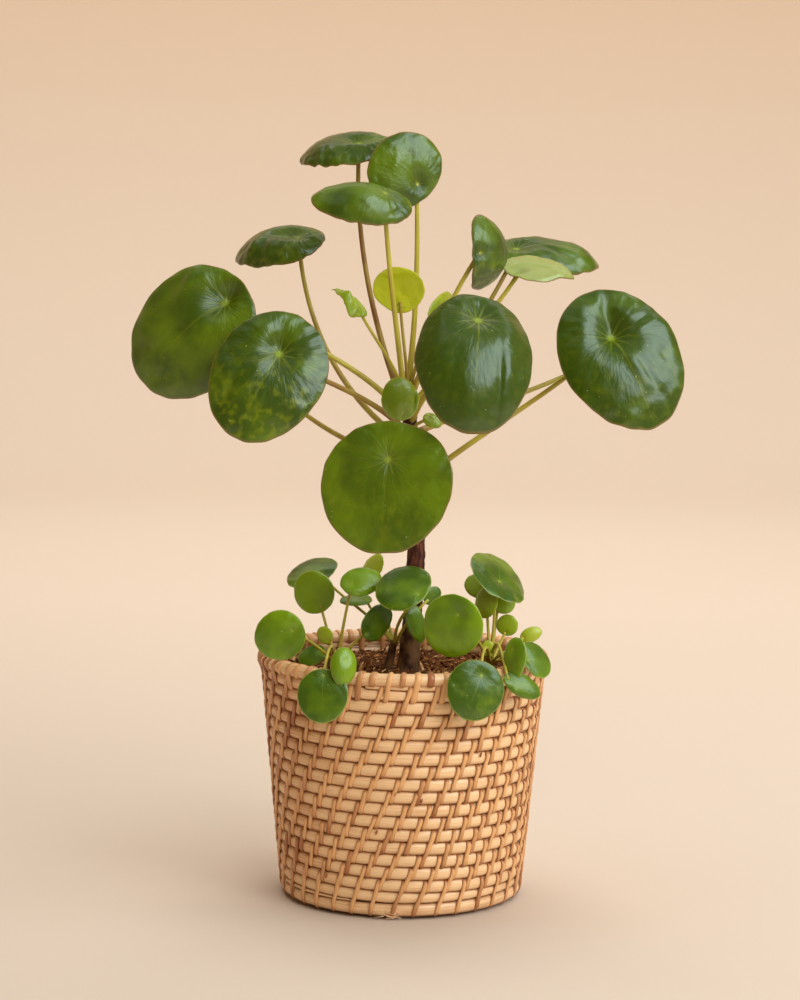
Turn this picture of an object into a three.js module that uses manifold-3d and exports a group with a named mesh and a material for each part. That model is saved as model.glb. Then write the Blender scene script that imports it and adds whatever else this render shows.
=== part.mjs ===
// A pilea (Chinese money plant) in a lashed rattan basket.
// Millimetres. +Z is up, +X to the right and +Y away from the viewer; the origin
// is the middle of the basket's flat underside, where it stands.
import * as THREE from "three";
import { mergeVertices } from "three/addons/utils/BufferGeometryUtils.js";
import Module from "manifold-3d";

const wasm = await Module();
wasm.setup();
const { Manifold, Mesh } = wasm;

// Basket: a tapered wall of coiled rods, lashed with cane strips, on a level foot rod.
const BASKET_HEIGHT = 152.5;
const FOOT_RADIUS = 74.5;
const SHOULDER_RADIUS = 87.8;
const WALL_TOP = 143.6;
const WALL_THICKNESS = 6;
const SIDES = 31;
const BOWL = 2 * SIDES;

// Two rods wind down to the right, half a turn apart, so that a turn drops two rows.
// Angles run from the viewer's side towards +X. FIRST_CREASE is the height of the first
// rod's lower crease at angle 0. Rows below LOW_ROW and above HIGH_ROW are lower.
const ROW = 7.88;
const FIRST_CREASE = 143.27;
const LOW_ROW = 17.19;
const LOW_SQUEEZE = 0.89;
const HIGH_ROW = 135.5;
const HIGH_SQUEEZE = 0.85;
const CREASE_DEPTH = 2;
const FOOT_ROD = 10.15;

// Lashings cross the creases, LASHINGS in a turn of a rod. From row to row they stand
// to the left by LASHING_STEP of their spacing, and each strays a little from there.
const LASHINGS = 33.72;
const LASHING_STEP = 0.36;
const LASHING_REACH = 3.6;
const LASHING_RELIEF = 0.4;
const BELLY_RELIEF = 0.2;
const STRAY_RADIUS = 82;
const RIM_RADIUS = 85.6;
const RIM_HALF_WIDTH = 4.4;
const RIM_HALF_HEIGHT = 4.3;
const RIM_COLUMNS = 52;
const BASE_THICKNESS = 5;

// What the basket holds.
const GAP = 0.3;
const FINEST = 0.04;
const LINER_THICKNESS = 1.2;
const LINER_TOP = 134;
const SOIL_LEVEL = 140;
const SOIL_BUMPS = 1.6;
const SOIL_SIDES = 22;

// Trunk: centre and radius up its height.
const TRUNK = [
  { x: 1, y: -4, z: 70, r: 3.5 },
  { x: 1.5, y: -4, z: 110, r: 6 },
  { x: 2, y: -4, z: 134, r: 7.6 },
  { x: 3, y: -3.5, z: 143, r: 7.1 },
  { x: 4, y: -3, z: 152, r: 6.5 },
  { x: 6, y: -2, z: 180, r: 5.7 },
  { x: 7, y: -1, z: 200, r: 5.9 },
  { x: 7.5, y: 0, z: 216, r: 5.4 },
  { x: 7, y: 1, z: 234, r: 5.6 },
  { x: 6.5, y: 2, z: 250, r: 5.1 },
  { x: 4, y: 3, z: 280, r: 4.9 },
  { x: 2, y: 4, z: 300, r: 4.3 },
  { x: 1, y: 4, z: 313, r: 3.6 },
  { x: 0.5, y: 4, z: 321, r: 2.4 },
];

// Leaves. Each blade is a round shield held at the point `at`, off its middle by `e`.
// a and b are its half length and half width. az, el and roll turn it: az and el aim
// the upper face (az 0 faces the viewer, el 90 faces up), roll turns its long way
// round from straight downhill. cup and fold bend the edges back.
// root is the height on the trunk that the stalk leaves from, and from the side of it
// (0 towards +X, 90 towards +Y; the side nearest the blade if left out). lift, arr and
// bow shape the stalk: how steeply it starts, how squarely it meets the blade, its sag.
const CROWN_LEAVES = [
  {
    name: "far_left", at: [-111, -35, 369], a: 43.5, b: 39, e: 27, az: -23, el: 13, roll: 44,
    cup: 0.2, root: 298, from: -170, lift: 0.55, arr: 0.45,
  },
  {
    name: "left_mid", at: [-75, -72, 340], a: 42, b: 33.5, e: 15.5, az: 0, el: 22, roll: 26,
    cup: 0.15, root: 288, lift: 0.35, arr: 0.45, bow: [0, 4, 0],
  },
  {
    name: "upper_left", at: [-69, 32, 409], a: 31, b: 23.5, e: 15.5, az: -41, el: 61, roll: 74,
    cup: 0.39, root: 281, lift: -0.3, arr: 0.3, bow: [-16, 0, -6],
  },
  {
    name: "right_mid", at: [42, -78, 362], a: 47, b: 34.5, e: 25, az: 8, el: 32, roll: 8,
    cup: 0.34, root: 296, lift: 0.25, arr: 0.45,
  },
  {
    name: "far_right", at: [125, -20, 350], a: 48, b: 37.5, e: 15, az: 8, el: 26, roll: -20,
    cup: 0.2, root: 258, lift: 0.1, arr: 0.45, bow: [0, 0, -2],
  },
  {
    name: "front_low", at: [-10, -92, 280], a: 39.5, b: 40, e: 16.5, az: -16, el: 17, roll: -1,
    cup: 0.06, root: 266, lift: 0.25, arr: 0.45,
  },
  {
    name: "top_left", at: [-31, 22, 468], a: 30.5, b: 26, e: 10.5, az: -36, el: 68, roll: 79,
    cup: 0.33, root: 302, lift: 0, arr: 0.3, bow: [-13, 0, 0],
  },
  {
    name: "top_mid", at: [-14.2, -38, 433], a: 30.5, b: 20, e: 13, az: 14, el: 58, roll: 95,
    cup: 0.3, fold: 0.15, root: 298, from: -141, lift: 0.1, arr: 0.3, bow: [0, -3, 0],
  },
  {
    name: "top_right", at: [6, -2, 442], a: 21.5, b: 25.5, e: 11.5, az: 17, el: 9, roll: 136,
    cup: 0.2, root: 318, from: 66, lift: 0.25, arr: 0.12, bow: [4, 0, 0],
  },
  {
    name: "right_fold", at: [45.4, -15, 400], a: 16, b: 22.5, e: 9.5, az: 48, el: 0, roll: -90,
    cup: 0.22, fold: 0.38, root: 308, from: -70, lift: 0.2, arr: 0.2,
  },
  {
    name: "back_right", at: [70, 58, 403], a: 38, b: 24, e: 19, az: 35, el: 64, roll: -72,
    cup: 0.25, root: 300, lift: 0, arr: 0.2, bow: [4, 0, 0],
  },
  {
    name: "pale_right", at: [68, 4, 388], a: 20, b: 19, e: 13, az: 12, el: 67, roll: -112,
    cup: 0.1, root: 305, from: -5, lift: 0, arr: 0.2,
  },
  {
    name: "hidden_left", at: [-87, 32, 321], a: 26, b: 24, e: 8, az: -35, el: 35, roll: 40,
    cup: 0.2, root: 268, lift: 0, arr: 0.45, bow: [-6, 6, -8],
  },
  {
    name: "hidden_right", at: [132, 60, 338], a: 28, b: 25, e: 9, az: 40, el: 40, roll: -40,
    cup: 0.2, root: 288, lift: 0, arr: 0.45, bow: [0, 4, 0],
  },
  {
    name: "young_tiny", at: [14, -6, 298], a: 6, b: 4.5, e: 3, az: 15, el: 25, roll: -60,
    cup: 0.2, root: 292, lift: 0.2, arr: 0.2,
  },
  {
    name: "young_back", at: [-4, -8, 369], a: 14, b: 15.4, e: 10.5, az: 173, el: 27, roll: 183,
    cup: 0.15, root: 318, from: -77, lift: 0.25, arr: 0.2,
  },
  {
    name: "young_curl", at: [-29, -14, 368], a: 12.5, b: 6.5, e: 4.5, az: 62, el: 52, roll: 178,
    cup: 0.3, fold: 0.3, root: 311, from: -154, lift: 0.25, arr: 0.2, bow: [3, 0, 0],
  },
  {
    name: "young_front", at: [-2, -30, 303], a: 13, b: 11.5, e: 8.5, az: 15, el: 6, roll: 173,
    cup: 0.3, root: 300, lift: 0.25, arr: 0.45,
  },
  {
    name: "young_narrow", at: [17, 0, 361], a: 15, b: 8.5, e: 9.5, az: 59, el: -3, roll: 243,
    cup: 0.18, root: 315, from: -37, lift: 0.25, arr: 0.2,
  },
];

// Three young shoots at the foot. Each is one leafy stem: a stub rooted in the soil
// and the leaves on it, whose stalks leave the stub's top.
const SHOOTS = [
  {
    name: "shoot_left",
    stub: [[-42, -12, 104, 2.2], [-42, -12, 130, 3.8], [-42, -12, 141, 3.8], [-42, -12, 147, 2.4]],
    leaves: [
      { at: [-67.5, -48, 171.5], a: 15.5, b: 15, e: 8, az: -5, el: 7, roll: 67, cup: 0.1 },
      { at: [-52, 2, 179.5], a: 13.5, b: 12.5, e: 9.5, az: -9, el: 7, roll: 153, cup: 0.1 },
      { at: [-32, -14, 196], a: 13.5, b: 9.5, e: 6.5, az: 14, el: 35, roll: -104, cup: 0.15 },
      { at: [-45, -18, 160], a: 5.5, b: 5, e: 5.5, az: -24, el: 2, roll: 136, cup: 0.1 },
      { at: [-51.5, -12, 153], a: 9, b: 6.5, e: 5.5, az: -4, el: 35, roll: 59, cup: 0.1 },
      { at: [-23, -22, 166], a: 13, b: 10, e: 10.5, az: 39, el: 2, roll: -127, cup: 0.08 },
      { at: [-34, -88, 160.5], a: 11.5, b: 8, e: 3.5, az: 21, el: 17, roll: 13, cup: 0.31, bow: [0, 0, 6] },
      { at: [-47, -88, 151], a: 16, b: 15, e: 12, az: -5, el: 17, roll: 0, cup: 0.1, bow: [0, 0, 14] },
    ],
  },
  {
    name: "shoot_centre",
    stub: [[-10, -2, 104, 2], [-10, -2, 130, 3], [-9.5, -2, 142, 3], [-5.5, -3, 159, 2.2]],
    leaves: [
      { at: [-50.5, 22, 195], a: 15.5, b: 17.5, e: 11.5, az: -33, el: 62, roll: 104, cup: 0.1 },
      { at: [-23.5, 12, 182.5], a: 10, b: 7, e: 6.5, az: 0, el: 68, roll: 79, cup: 0.1 },
      { at: [-22.5, 26, 195], a: 9.5, b: 10, e: 6.5, az: -55, el: 29, roll: 184, cup: 0.1 },
      {
        at: [9, -34, 192.5], a: 16.5, b: 18.5, e: 12, az: -14, el: 49, roll: 115,
        cup: 0.14, bow: [-5, -5, 0],
      },
      { at: [4, -24, 183.5], a: 13, b: 6, e: 10.5, az: 23, el: 6, roll: -17, cup: 0.09, bow: [-3, -7, 0] },
      { at: [15, -15, 186.5], a: 6.5, b: 5, e: 4, az: 27, el: 8, roll: -126, cup: 0.1, bow: [-2, -12, 0] },
    ],
  },
  {
    name: "shoot_right",
    stub: [[54, -10, 104, 2.2], [54, -10, 130, 4], [54, -10, 141, 4], [54, -10, 147, 2.6]],
    leaves: [
      { at: [32.5, -58, 183.5], a: 19, b: 19, e: 7.5, az: -21, el: 3, roll: 25, cup: 0.08 },
      { at: [59, -8, 197], a: 24, b: 20, e: 6.5, az: 55, el: 51, roll: -136, cup: 0.11 },
      { at: [51.5, 12, 188], a: 9.5, b: 8.5, e: 6.5, az: -6, el: 42, roll: 132, cup: 0.1 },
      { at: [54.5, -14, 191.5], a: 10, b: 9, e: 8.5, az: -46, el: 4, roll: 32, cup: 0.15 },
      { at: [60.5, 8, 184.5], a: 7, b: 7.5, e: 3.5, az: 13, el: 18, roll: -41, cup: 0.1 },
      { at: [63.5, 0, 164.5], a: 6.5, b: 6.5, e: 4.5, az: -8, el: 0, roll: 196, cup: 0.15 },
      { at: [75, 5, 160], a: 7, b: 4.5, e: 5.5, az: 2, el: 16, roll: -114, cup: 0.2 },
      { at: [65.5, -68, 164.5], a: 12.5, b: 9, e: 5, az: -45, el: 11, roll: -7, cup: 0.25 },
      { at: [75, -58, 156.5], a: 11, b: 12, e: 7, az: 44, el: 34, roll: -86, cup: 0.1 },
      {
        at: [62.5, -75, 148], a: 12.5, b: 7.5, e: 10, az: 29, el: 30, roll: -59,
        cup: 0.15, bow: [0, 0, 20],
      },
      { at: [46, -90, 152.5], a: 18, b: 17, e: 9.5, az: 10, el: 14, roll: 24, cup: 0.12, bow: [0, 0, 13] },
      { at: [52.5, -20, 153], a: 5, b: 4, e: 4, az: 0, el: 5, roll: 177, cup: 0.1 },
    ],
  },
];

// Blade and stalk sections.
const CROWN = { sectors: 15, rings: [0.34, 0.72, 1], thick: 1.1, root: 1.9, tip: 1.25, sides: 5, steps: 6 };
const YOUNG = { sectors: 11, rings: [0.4, 0.75, 1], thick: 0.9, root: 1.1, tip: 0.9, sides: 4, steps: 5 };
const SHOOT = { sectors: 10, rings: [0.5, 1], thick: 0.8, root: 1, tip: 0.8, sides: 4, steps: 3 };

const COLOURS = {
  cane: 0xd8a871,
  rim: 0xcf9a60,
  base: 0xb98b58,
  liner: 0x2c2b29,
  soil: 0x3a2718,
  bark: 0x4b3026,
  bud: 0xc48f7c,
  leaf: 0x4d7320,
  young: 0x93a33a,
  shoot: 0x5f8a22,
};

const radians = THREE.MathUtils.degToRad;
const lerp = THREE.MathUtils.lerp;
const vec = (x, y, z) => new THREE.Vector3(x, y, z);

// One closed body from points and triangles, turned to face outwards.
function closed(points, faces) {
  let volume = 0;
  const cross = vec(0, 0, 0);
  for (const [i, j, k] of faces) {
    volume += cross.crossVectors(points[j], points[k]).dot(points[i]);
  }
  const turned = volume < 0 ? faces.map(([i, j, k]) => [i, k, j]) : faces;
  return new Manifold(
    new Mesh({
      numProp: 3,
      vertProperties: new Float32Array(points.flatMap((p) => [p.x, p.y, p.z])),
      triVerts: new Uint32Array(turned.flat()),
    }),
  );
}

// Triangles between two loops of n points that start at index a and b. The split
// runs from a's point to b's next one, or the other way round if mirrored.
function band(a, b, n, mirrored = false) {
  const faces = [];
  for (let j = 0; j < n; j++) {
    const k = (j + 1) % n;
    if (mirrored) {
      faces.push([a + j, b + j, a + k], [a + k, b + j, b + k]);
    } else {
      faces.push([a + j, b + j, b + k], [a + j, b + k, a + k]);
    }
  }
  return faces;
}

// A solid from stacked loops that closes on a point at each end. Bands from
// mirrorFrom on are split the other way.
function stacked(first, loops, last, mirrorFrom = Infinity) {
  const n = loops[0].length;
  const points = [first, ...loops.flat(), last];
  const faces = [];
  for (let j = 0; j < n; j++) {
    const k = (j + 1) % n;
    const end = 1 + (loops.length - 1) * n;
    faces.push([0, 1 + j, 1 + k], [points.length - 1, end + k, end + j]);
  }
  for (let i = 0; i + 1 < loops.length; i++) {
    faces.push(...band(1 + i * n, 1 + (i + 1) * n, n, i >= mirrorFrom));
  }
  return closed(points, faces);
}

// A ring-shaped solid: the last loop joins the first.
function ringed(loops) {
  const n = loops[0].length;
  const faces = loops.flatMap((_, i) => band(i * n, ((i + 1) % loops.length) * n, n));
  return closed(loops.flat(), faces);
}

// A level circle of n points about the Z axis; offset adds to the radius at each.
function circle(radius, z, n, turn = 0, offset = () => 0) {
  return Array.from({ length: n }, (_, j) => {
    const angle = ((j + turn) / n) * 2 * Math.PI;
    const r = radius + offset(j);
    return vec(r * Math.cos(angle), r * Math.sin(angle), z);
  });
}

// A round stick along a path of {point, radius}, with the given number of sides.
function stick(path, sides) {
  let side = vec(1, 0, 0);
  const loops = path.map(({ point, radius }, i) => {
    const before = path[Math.max(i - 1, 0)].point;
    const after = path[Math.min(i + 1, path.length - 1)].point;
    const along = after.clone().sub(before).normalize();
    side = side.clone().addScaledVector(along, -side.dot(along)).normalize();
    const other = along.clone().cross(side);
    return Array.from({ length: sides }, (_, j) => {
      const angle = (j / sides) * 2 * Math.PI;
      return point
        .clone()
        .addScaledVector(side, radius * Math.cos(angle))
        .addScaledVector(other, radius * Math.sin(angle));
    });
  });
  return stacked(path[0].point, loops, path[path.length - 1].point);
}

// The directions of a blade: out of its upper face, along it and across it.
function bladeFrame({ az, el, roll }) {
  const a = radians(az);
  const e = radians(el);
  const r = radians(roll);
  const normal = vec(Math.sin(a) * Math.cos(e), -Math.cos(a) * Math.cos(e), Math.sin(e));
  const downhill = vec(0, 0, -1).addScaledVector(normal, normal.z).normalize();
  const level = downhill.clone().cross(normal);
  const along = downhill.clone().multiplyScalar(Math.cos(r)).addScaledVector(level, Math.sin(r));
  const across = along.clone().cross(normal);
  return { normal, along, across };
}

// How far the blade stands above its own plane at x along it and y across it,
// measured from its middle. The stalk's point is the bottom of a shallow dimple.
function bladeHeight(leaf, x, y) {
  const { a, b, e, cup = 0.2, fold = 0, dimple = 0.08, wave = 0.02, waves = 3 } = leaf;
  const reach = (x / a) ** 2 + (y / b) ** 2;
  const held = (e / a) ** 2;
  const away = ((x + e) ** 2 + y ** 2) / (0.28 * a) ** 2;
  return (
    -cup * a * (reach ** 1.3 - held ** 1.3) +
    dimple * a * (1 - Math.exp(-away)) -
    fold * b * (y / b) ** 2 +
    wave * a * reach * Math.sin(waves * Math.atan2(y / b, x / a))
  );
}

// The blade: two like faces about one waved mid surface, thinner at the edge.
function blade(leaf, { sectors, rings, thick }) {
  const { a, b, e, egg = 0.06 } = leaf;
  const { normal, along, across } = bladeFrame(leaf);
  const held = vec(...leaf.at);
  const step = 0.02 * a;
  const place = (x, y, side, depth) => {
    const w = bladeHeight(leaf, x, y);
    const slopeX = (bladeHeight(leaf, x + step, y) - bladeHeight(leaf, x - step, y)) / (2 * step);
    const slopeY = (bladeHeight(leaf, x, y + step) - bladeHeight(leaf, x, y - step)) / (2 * step);
    const up = normal.clone().addScaledVector(along, -slopeX).addScaledVector(across, -slopeY);
    return held
      .clone()
      .addScaledVector(along, x + e)
      .addScaledVector(across, y)
      .addScaledVector(normal, w)
      .addScaledVector(up.normalize(), (side * depth) / 2);
  };
  const ring = (reach, side) =>
    Array.from({ length: sectors }, (_, j) => {
      const phi = (j / sectors) * 2 * Math.PI;
      const x = -e + reach * (a * Math.cos(phi) + e);
      const y = reach * b * Math.sin(phi) * (1 - egg * Math.cos(phi));
      return place(x, y, side, reach === 1 ? 0.7 * thick : thick);
    });
  const upper = rings.map((reach) => ring(reach, 1));
  const lower = rings.map((reach) => ring(reach, -1)).reverse();
  const loops = [...upper, ...lower];
  return stacked(place(-e, 0, 1, thick), loops, place(-e, 0, -1, thick), upper.length);
}

// The stalk's path from its root to just under the blade's dimple.
function stalkPath(leaf, root, style) {
  const { lift = 0.4, arr = 0.3, bow = [0, 0, 0] } = leaf;
  const { normal } = bladeFrame(leaf);
  const end = vec(...leaf.at).addScaledVector(normal, -0.3 * style.thick);
  const chord = end.clone().sub(root);
  const length = chord.length();
  chord.normalize();
  const leaves = chord.clone().add(vec(0, 0, lift)).normalize();
  const arrives = chord.clone().multiplyScalar(1 - arr).addScaledVector(normal, arr).normalize();
  const sag = vec(...bow);
  const curve = new THREE.CubicBezierCurve3(
    root,
    root.clone().addScaledVector(leaves, 0.35 * length).add(sag),
    end.clone().addScaledVector(arrives, -0.3 * length).add(sag),
    end,
  );
  return Array.from({ length: style.steps + 1 }, (_, i) => ({
    point: curve.getPoint(i / style.steps),
    radius: lerp(style.root, style.tip, i / style.steps),
  }));
}

function leafOnStalk(leaf, root, style) {
  return blade(leaf, style).add(stick(stalkPath(leaf, root, style), style.sides));
}

// The largest body of a cut solid, without the scraps and the sliver triangles.
function mainBody(solid) {
  const bodies = solid.decompose();
  const main = bodies.reduce((best, body) => (body.volume() > best.volume() ? body : best));
  return main.simplify(FINEST);
}

// Basket.
function wallRadius(z) {
  return lerp(FOOT_RADIUS, SHOULDER_RADIUS, z / WALL_TOP);
}

// Height of a crease or belly from its height on an even coil.
function squeezed(height) {
  if (height < LOW_ROW) return LOW_ROW - LOW_SQUEEZE * (LOW_ROW - height);
  if (height > HIGH_ROW) return HIGH_ROW + HIGH_SQUEEZE * (height - HIGH_ROW);
  return height;
}

// How far round a lashing strays from its even place at a height: to the left in front,
// and low down more so on the right.
function stray(angle, z) {
  const { smoothstep } = THREE.MathUtils;
  const middle = -5 - 3 * smoothstep(z, 55, 130) - 3 * smoothstep(z, 128, 145);
  const aside = (6.5 * smoothstep(z, 50, 100) - 5) * Math.sin(angle);
  return (middle + aside) / STRAY_RADIUS;
}

// A point on the wall, as many rows under the first crease and proud of the wall by relief.
function coilPoint(angle, row, relief) {
  const level = (turn) => squeezed(FIRST_CREASE - (turn / Math.PI + row) * ROW);
  const turned = angle + stray(angle, level(angle));
  const z = level(turned);
  const r = wallRadius(z) + relief;
  return { angle, point: vec(r * Math.sin(turned), -r * Math.cos(turned), z) };
}

// The points of one crease or belly of the coils between two counts of lashings. A
// crease is deep on both sides of each lashing.
function course(row, first, last) {
  const relief = row % 1 ? [BELLY_RELIEF] : [-CREASE_DEPTH, LASHING_RELIEF, -CREASE_DEPTH];
  const reach = LASHING_REACH / SHOULDER_RADIUS;
  const points = [];
  for (let k = first; k <= last; k++) {
    const middle = ((k - LASHING_STEP * row) * 2 * Math.PI) / LASHINGS;
    relief.forEach((height, i) => {
      const aside = (i - (relief.length - 1) / 2) * reach;
      points.push(coilPoint(middle + aside, row, height));
    });
  }
  return points;
}

// Triangles between two courses, {from, to, angles} being each one's points: whichever
// has the nearer next point steps on.
function zipped(upper, lower) {
  const faces = [];
  let i = upper.from;
  let j = lower.from;
  while (i < upper.to || j < lower.to) {
    const nextUpper = i < upper.to ? upper.angles[i + 1 - upper.from] : Infinity;
    const nextLower = j < lower.to ? lower.angles[j + 1 - lower.from] : Infinity;
    if (nextUpper < nextLower) {
      faces.push([i, j, i + 1]);
      i += 1;
    } else {
      faces.push([i, j, j + 1]);
      j += 1;
    }
  }
  return faces;
}

// The coils as one long screw that is closed by a fan at each end. It starts a turn
// above the wall's top and ends a turn below the foot rod's. Courses 0 to 3 are the
// first crease, the belly under it, the second crease and the belly under that, which
// rests on course 0 again a turn later.
function coils() {
  const first = -42;
  const last = 292;
  const turn = 2 * Math.PI;
  const axis = { above: vec(0, 0, BASKET_HEIGHT + 50), below: vec(0, 0, -50) };
  const courses = [
    course(0, first, last + 36),
    course(0.5, first, last),
    course(1, first, last),
    course(1.5, first, last),
  ];
  const all = courses.flat();
  const starts = [0];
  for (const list of courses) starts.push(starts[starts.length - 1] + list.length);
  const stretch = (index, from, to, back = 0) => ({
    from: starts[index] + from,
    to: starts[index] + to,
    angles: courses[index].slice(from, to + 1).map((p) => p.angle - back),
  });
  const whole = (index) => stretch(index, 0, courses[index].length - 1);
  const long = courses[0];
  const after = long.findIndex((p) => p.angle > courses[3][0].angle + turn);
  const before = long.findIndex((p) => p.angle > courses[1][courses[1].length - 1].angle) - 1;
  const faces = [
    ...zipped(stretch(0, 0, before), whole(1)),
    ...zipped(whole(1), whole(2)),
    ...zipped(whole(2), whole(3)),
    ...zipped(whole(3), stretch(0, after, long.length - 1, turn)),
  ];
  const range = (from, to) => Array.from({ length: to - from + 1 }, (_, i) => from + i);
  const top = [...range(0, after), starts[3], starts[2], starts[1]];
  const tail = range(before, long.length - 1).reverse();
  const foot = [...tail, starts[2] - 1, starts[3] - 1, starts[4] - 1];
  const fan = (loop, apex) => loop.map((p, i) => [p, loop[(i + 1) % loop.length], apex]);
  const points = [...all.map((p) => p.point), axis.above, axis.below];
  faces.push(...fan(top, all.length), ...fan(foot, all.length + 1));
  return closed(points, faces);
}

function footRod() {
  const profile = [
    { z: 0, in: 2.4 },
    { z: 2, in: 0.3 },
    { z: FOOT_ROD - 2, in: 0.3 },
    { z: FOOT_ROD, in: 2.2 },
    { z: FOOT_ROD + 1, in: 2.6 },
  ];
  const loops = profile.map(({ z, in: inset }) => circle(wallRadius(z) - inset, z, SIDES));
  return stacked(vec(0, 0, 0), loops, vec(0, 0, FOOT_ROD + 1));
}

function basketWall() {
  const inside = [-1, WALL_TOP + 1].map((z) => circle(wallRadius(z) - WALL_THICKNESS, z, BOWL));
  const rods = coils().trimByPlane([0, 0, 1], FOOT_ROD).trimByPlane([0, 0, -1], -WALL_TOP);
  const bowl = stacked(vec(0, 0, -1), inside, vec(0, 0, WALL_TOP + 1));
  return mainBody(rods.add(footRod()).subtract(bowl));
}

function basketRim() {
  const middle = BASKET_HEIGHT - RIM_HALF_HEIGHT;
  const sides = 6;
  const loops = Array.from({ length: sides }, (_, i) => {
    const angle = (i / sides) * 2 * Math.PI;
    const grow = 1 / Math.cos(Math.PI / sides);
    const radius = RIM_RADIUS + RIM_HALF_WIDTH * grow * Math.cos(angle);
    const z = middle + RIM_HALF_HEIGHT * grow * Math.sin(angle);
    const wrap = Math.cos(angle) > 0 ? 0.4 : 0;
    return circle(radius, z, RIM_COLUMNS, i * 0.12, (j) => (j % 2 ? -wrap : 0));
  });
  return ringed(loops);
}

function basketBase() {
  const radius = wallRadius(0) - WALL_THICKNESS - GAP;
  const loops = [circle(radius, 0, SIDES), circle(radius, BASE_THICKNESS, SIDES)];
  return stacked(vec(0, 0, 0), loops, vec(0, 0, BASE_THICKNESS));
}

// Radius inside the wall, a gap clear of it.
function hold(z) {
  return (wallRadius(z) - WALL_THICKNESS - GAP) * Math.cos(Math.PI / BOWL);
}

function liner() {
  const foot = BASE_THICKNESS + GAP;
  const floor = foot + LINER_THICKNESS;
  const loops = [
    circle(hold(foot), foot, SIDES),
    circle(hold(LINER_TOP), LINER_TOP, SIDES),
    circle(hold(LINER_TOP) - LINER_THICKNESS, LINER_TOP, SIDES),
    circle(hold(floor) - LINER_THICKNESS, floor, SIDES),
  ];
  return stacked(vec(0, 0, foot), loops, vec(0, 0, floor));
}

// Fills the liner and spreads over its edge to the wall, with a lumpy top.
function soil(holes) {
  const inner = LINER_THICKNESS + GAP;
  const foot = BASE_THICKNESS + GAP + LINER_THICKNESS + GAP;
  const over = LINER_TOP + GAP;
  const lump = (radius, j) =>
    SOIL_BUMPS * Math.sin(radius * 0.21 + 1.7 * j) * Math.cos(0.13 * radius - 2.3 * j);
  const surface = (radius) =>
    circle(radius, 0, SOIL_SIDES).map((p, j) => p.setZ(SOIL_LEVEL + lump(radius, j)));
  const loops = [
    circle((hold(foot) - inner) * 0.995, foot, SOIL_SIDES),
    circle((hold(over) - inner) * 0.995, over, SOIL_SIDES),
    circle(hold(over), over, SOIL_SIDES),
    circle(hold(SOIL_LEVEL - 2), SOIL_LEVEL - 2, SOIL_SIDES),
    ...[68, 52, 36, 18].map(surface),
  ];
  const body = stacked(vec(0, 0, foot), loops, vec(0, 0, SOIL_LEVEL + 1));
  return mainBody(holes.reduce((rest, hole) => rest.subtract(hole), body));
}

// Plant.
function trunk(extra = 0) {
  const path = TRUNK.map(({ x, y, z, r }, i) => ({
    point: vec(x, y, i === 0 ? z - extra : i === TRUNK.length - 1 ? z + extra : z),
    radius: r + extra,
  }));
  return stick(path, 10);
}

// Where a stalk starts: inside the trunk, towards the side that it leaves from.
function stalkRoot({ root, from, at }) {
  const above = TRUNK.findIndex((level) => level.z > root);
  const low = TRUNK[above - 1];
  const high = TRUNK[above];
  const t = (root - low.z) / (high.z - low.z);
  const x = lerp(low.x, high.x, t);
  const y = lerp(low.y, high.y, t);
  const side = from === undefined ? Math.atan2(at[1] - y, at[0] - x) : radians(from);
  const off = 0.6 * lerp(low.r, high.r, t);
  return vec(x + off * Math.cos(side), y + off * Math.sin(side), root);
}

function crownLeaf(leaf, aroundTrunk) {
  const style = leaf.name.startsWith("young") ? YOUNG : CROWN;
  return mainBody(leafOnStalk(leaf, stalkRoot(leaf), style).subtract(aroundTrunk));
}

function stubPath({ stub }, extra = 0) {
  return stub.map(([x, y, z, r], i) => ({
    point: vec(x, y, i === 0 ? z - extra : z),
    radius: r + extra,
  }));
}

function shoot(spec) {
  const path = stubPath(spec);
  const top = path[path.length - 1];
  const stem = stick(path, 8);
  return spec.leaves.reduce((body, leaf) => {
    const towards = vec(...leaf.at).sub(top.point).setZ(0).normalize();
    const root = top.point.clone().addScaledVector(towards, 0.5 * top.radius);
    root.z -= 2;
    return body.add(leafOnStalk(leaf, root, SHOOT));
  }, stem).simplify(FINEST);
}

// The resting bud above the trunk's end, between the youngest stalks.
function crownBud() {
  const end = TRUNK[TRUNK.length - 1];
  const foot = vec(end.x - 1.4, end.y - 0.2, end.z + GAP);
  const ring = (r, h) => circle(r, h, 8).map((p) => p.add(foot));
  return stacked(foot, [ring(1, 0), ring(1.25, 2), ring(0.7, 4.4)], foot.clone().setZ(foot.z + 6));
}

function finish(solid, name, colour) {
  const { vertProperties, triVerts, numProp } = solid.getMesh();
  const geometry = new THREE.BufferGeometry();
  const positions = [];
  for (let i = 0; i < vertProperties.length; i += numProp) {
    positions.push(vertProperties[i], vertProperties[i + 1], vertProperties[i + 2]);
  }
  geometry.setAttribute("position", new THREE.Float32BufferAttribute(positions, 3));
  geometry.setIndex([...triVerts]);
  const merged = mergeVertices(geometry, 1e-4);
  merged.computeVertexNormals();
  const material = new THREE.MeshStandardMaterial({ color: colour, roughness: 0.6 });
  const mesh = new THREE.Mesh(merged, material);
  mesh.name = name;
  return mesh;
}

const plant = new THREE.Group();
const keep = (solid, name, colour) => plant.add(finish(solid, name, colour));
const aroundTrunk = trunk(GAP);
const holes = [aroundTrunk, ...SHOOTS.map((spec) => stick(stubPath(spec, GAP), 8))];

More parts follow.
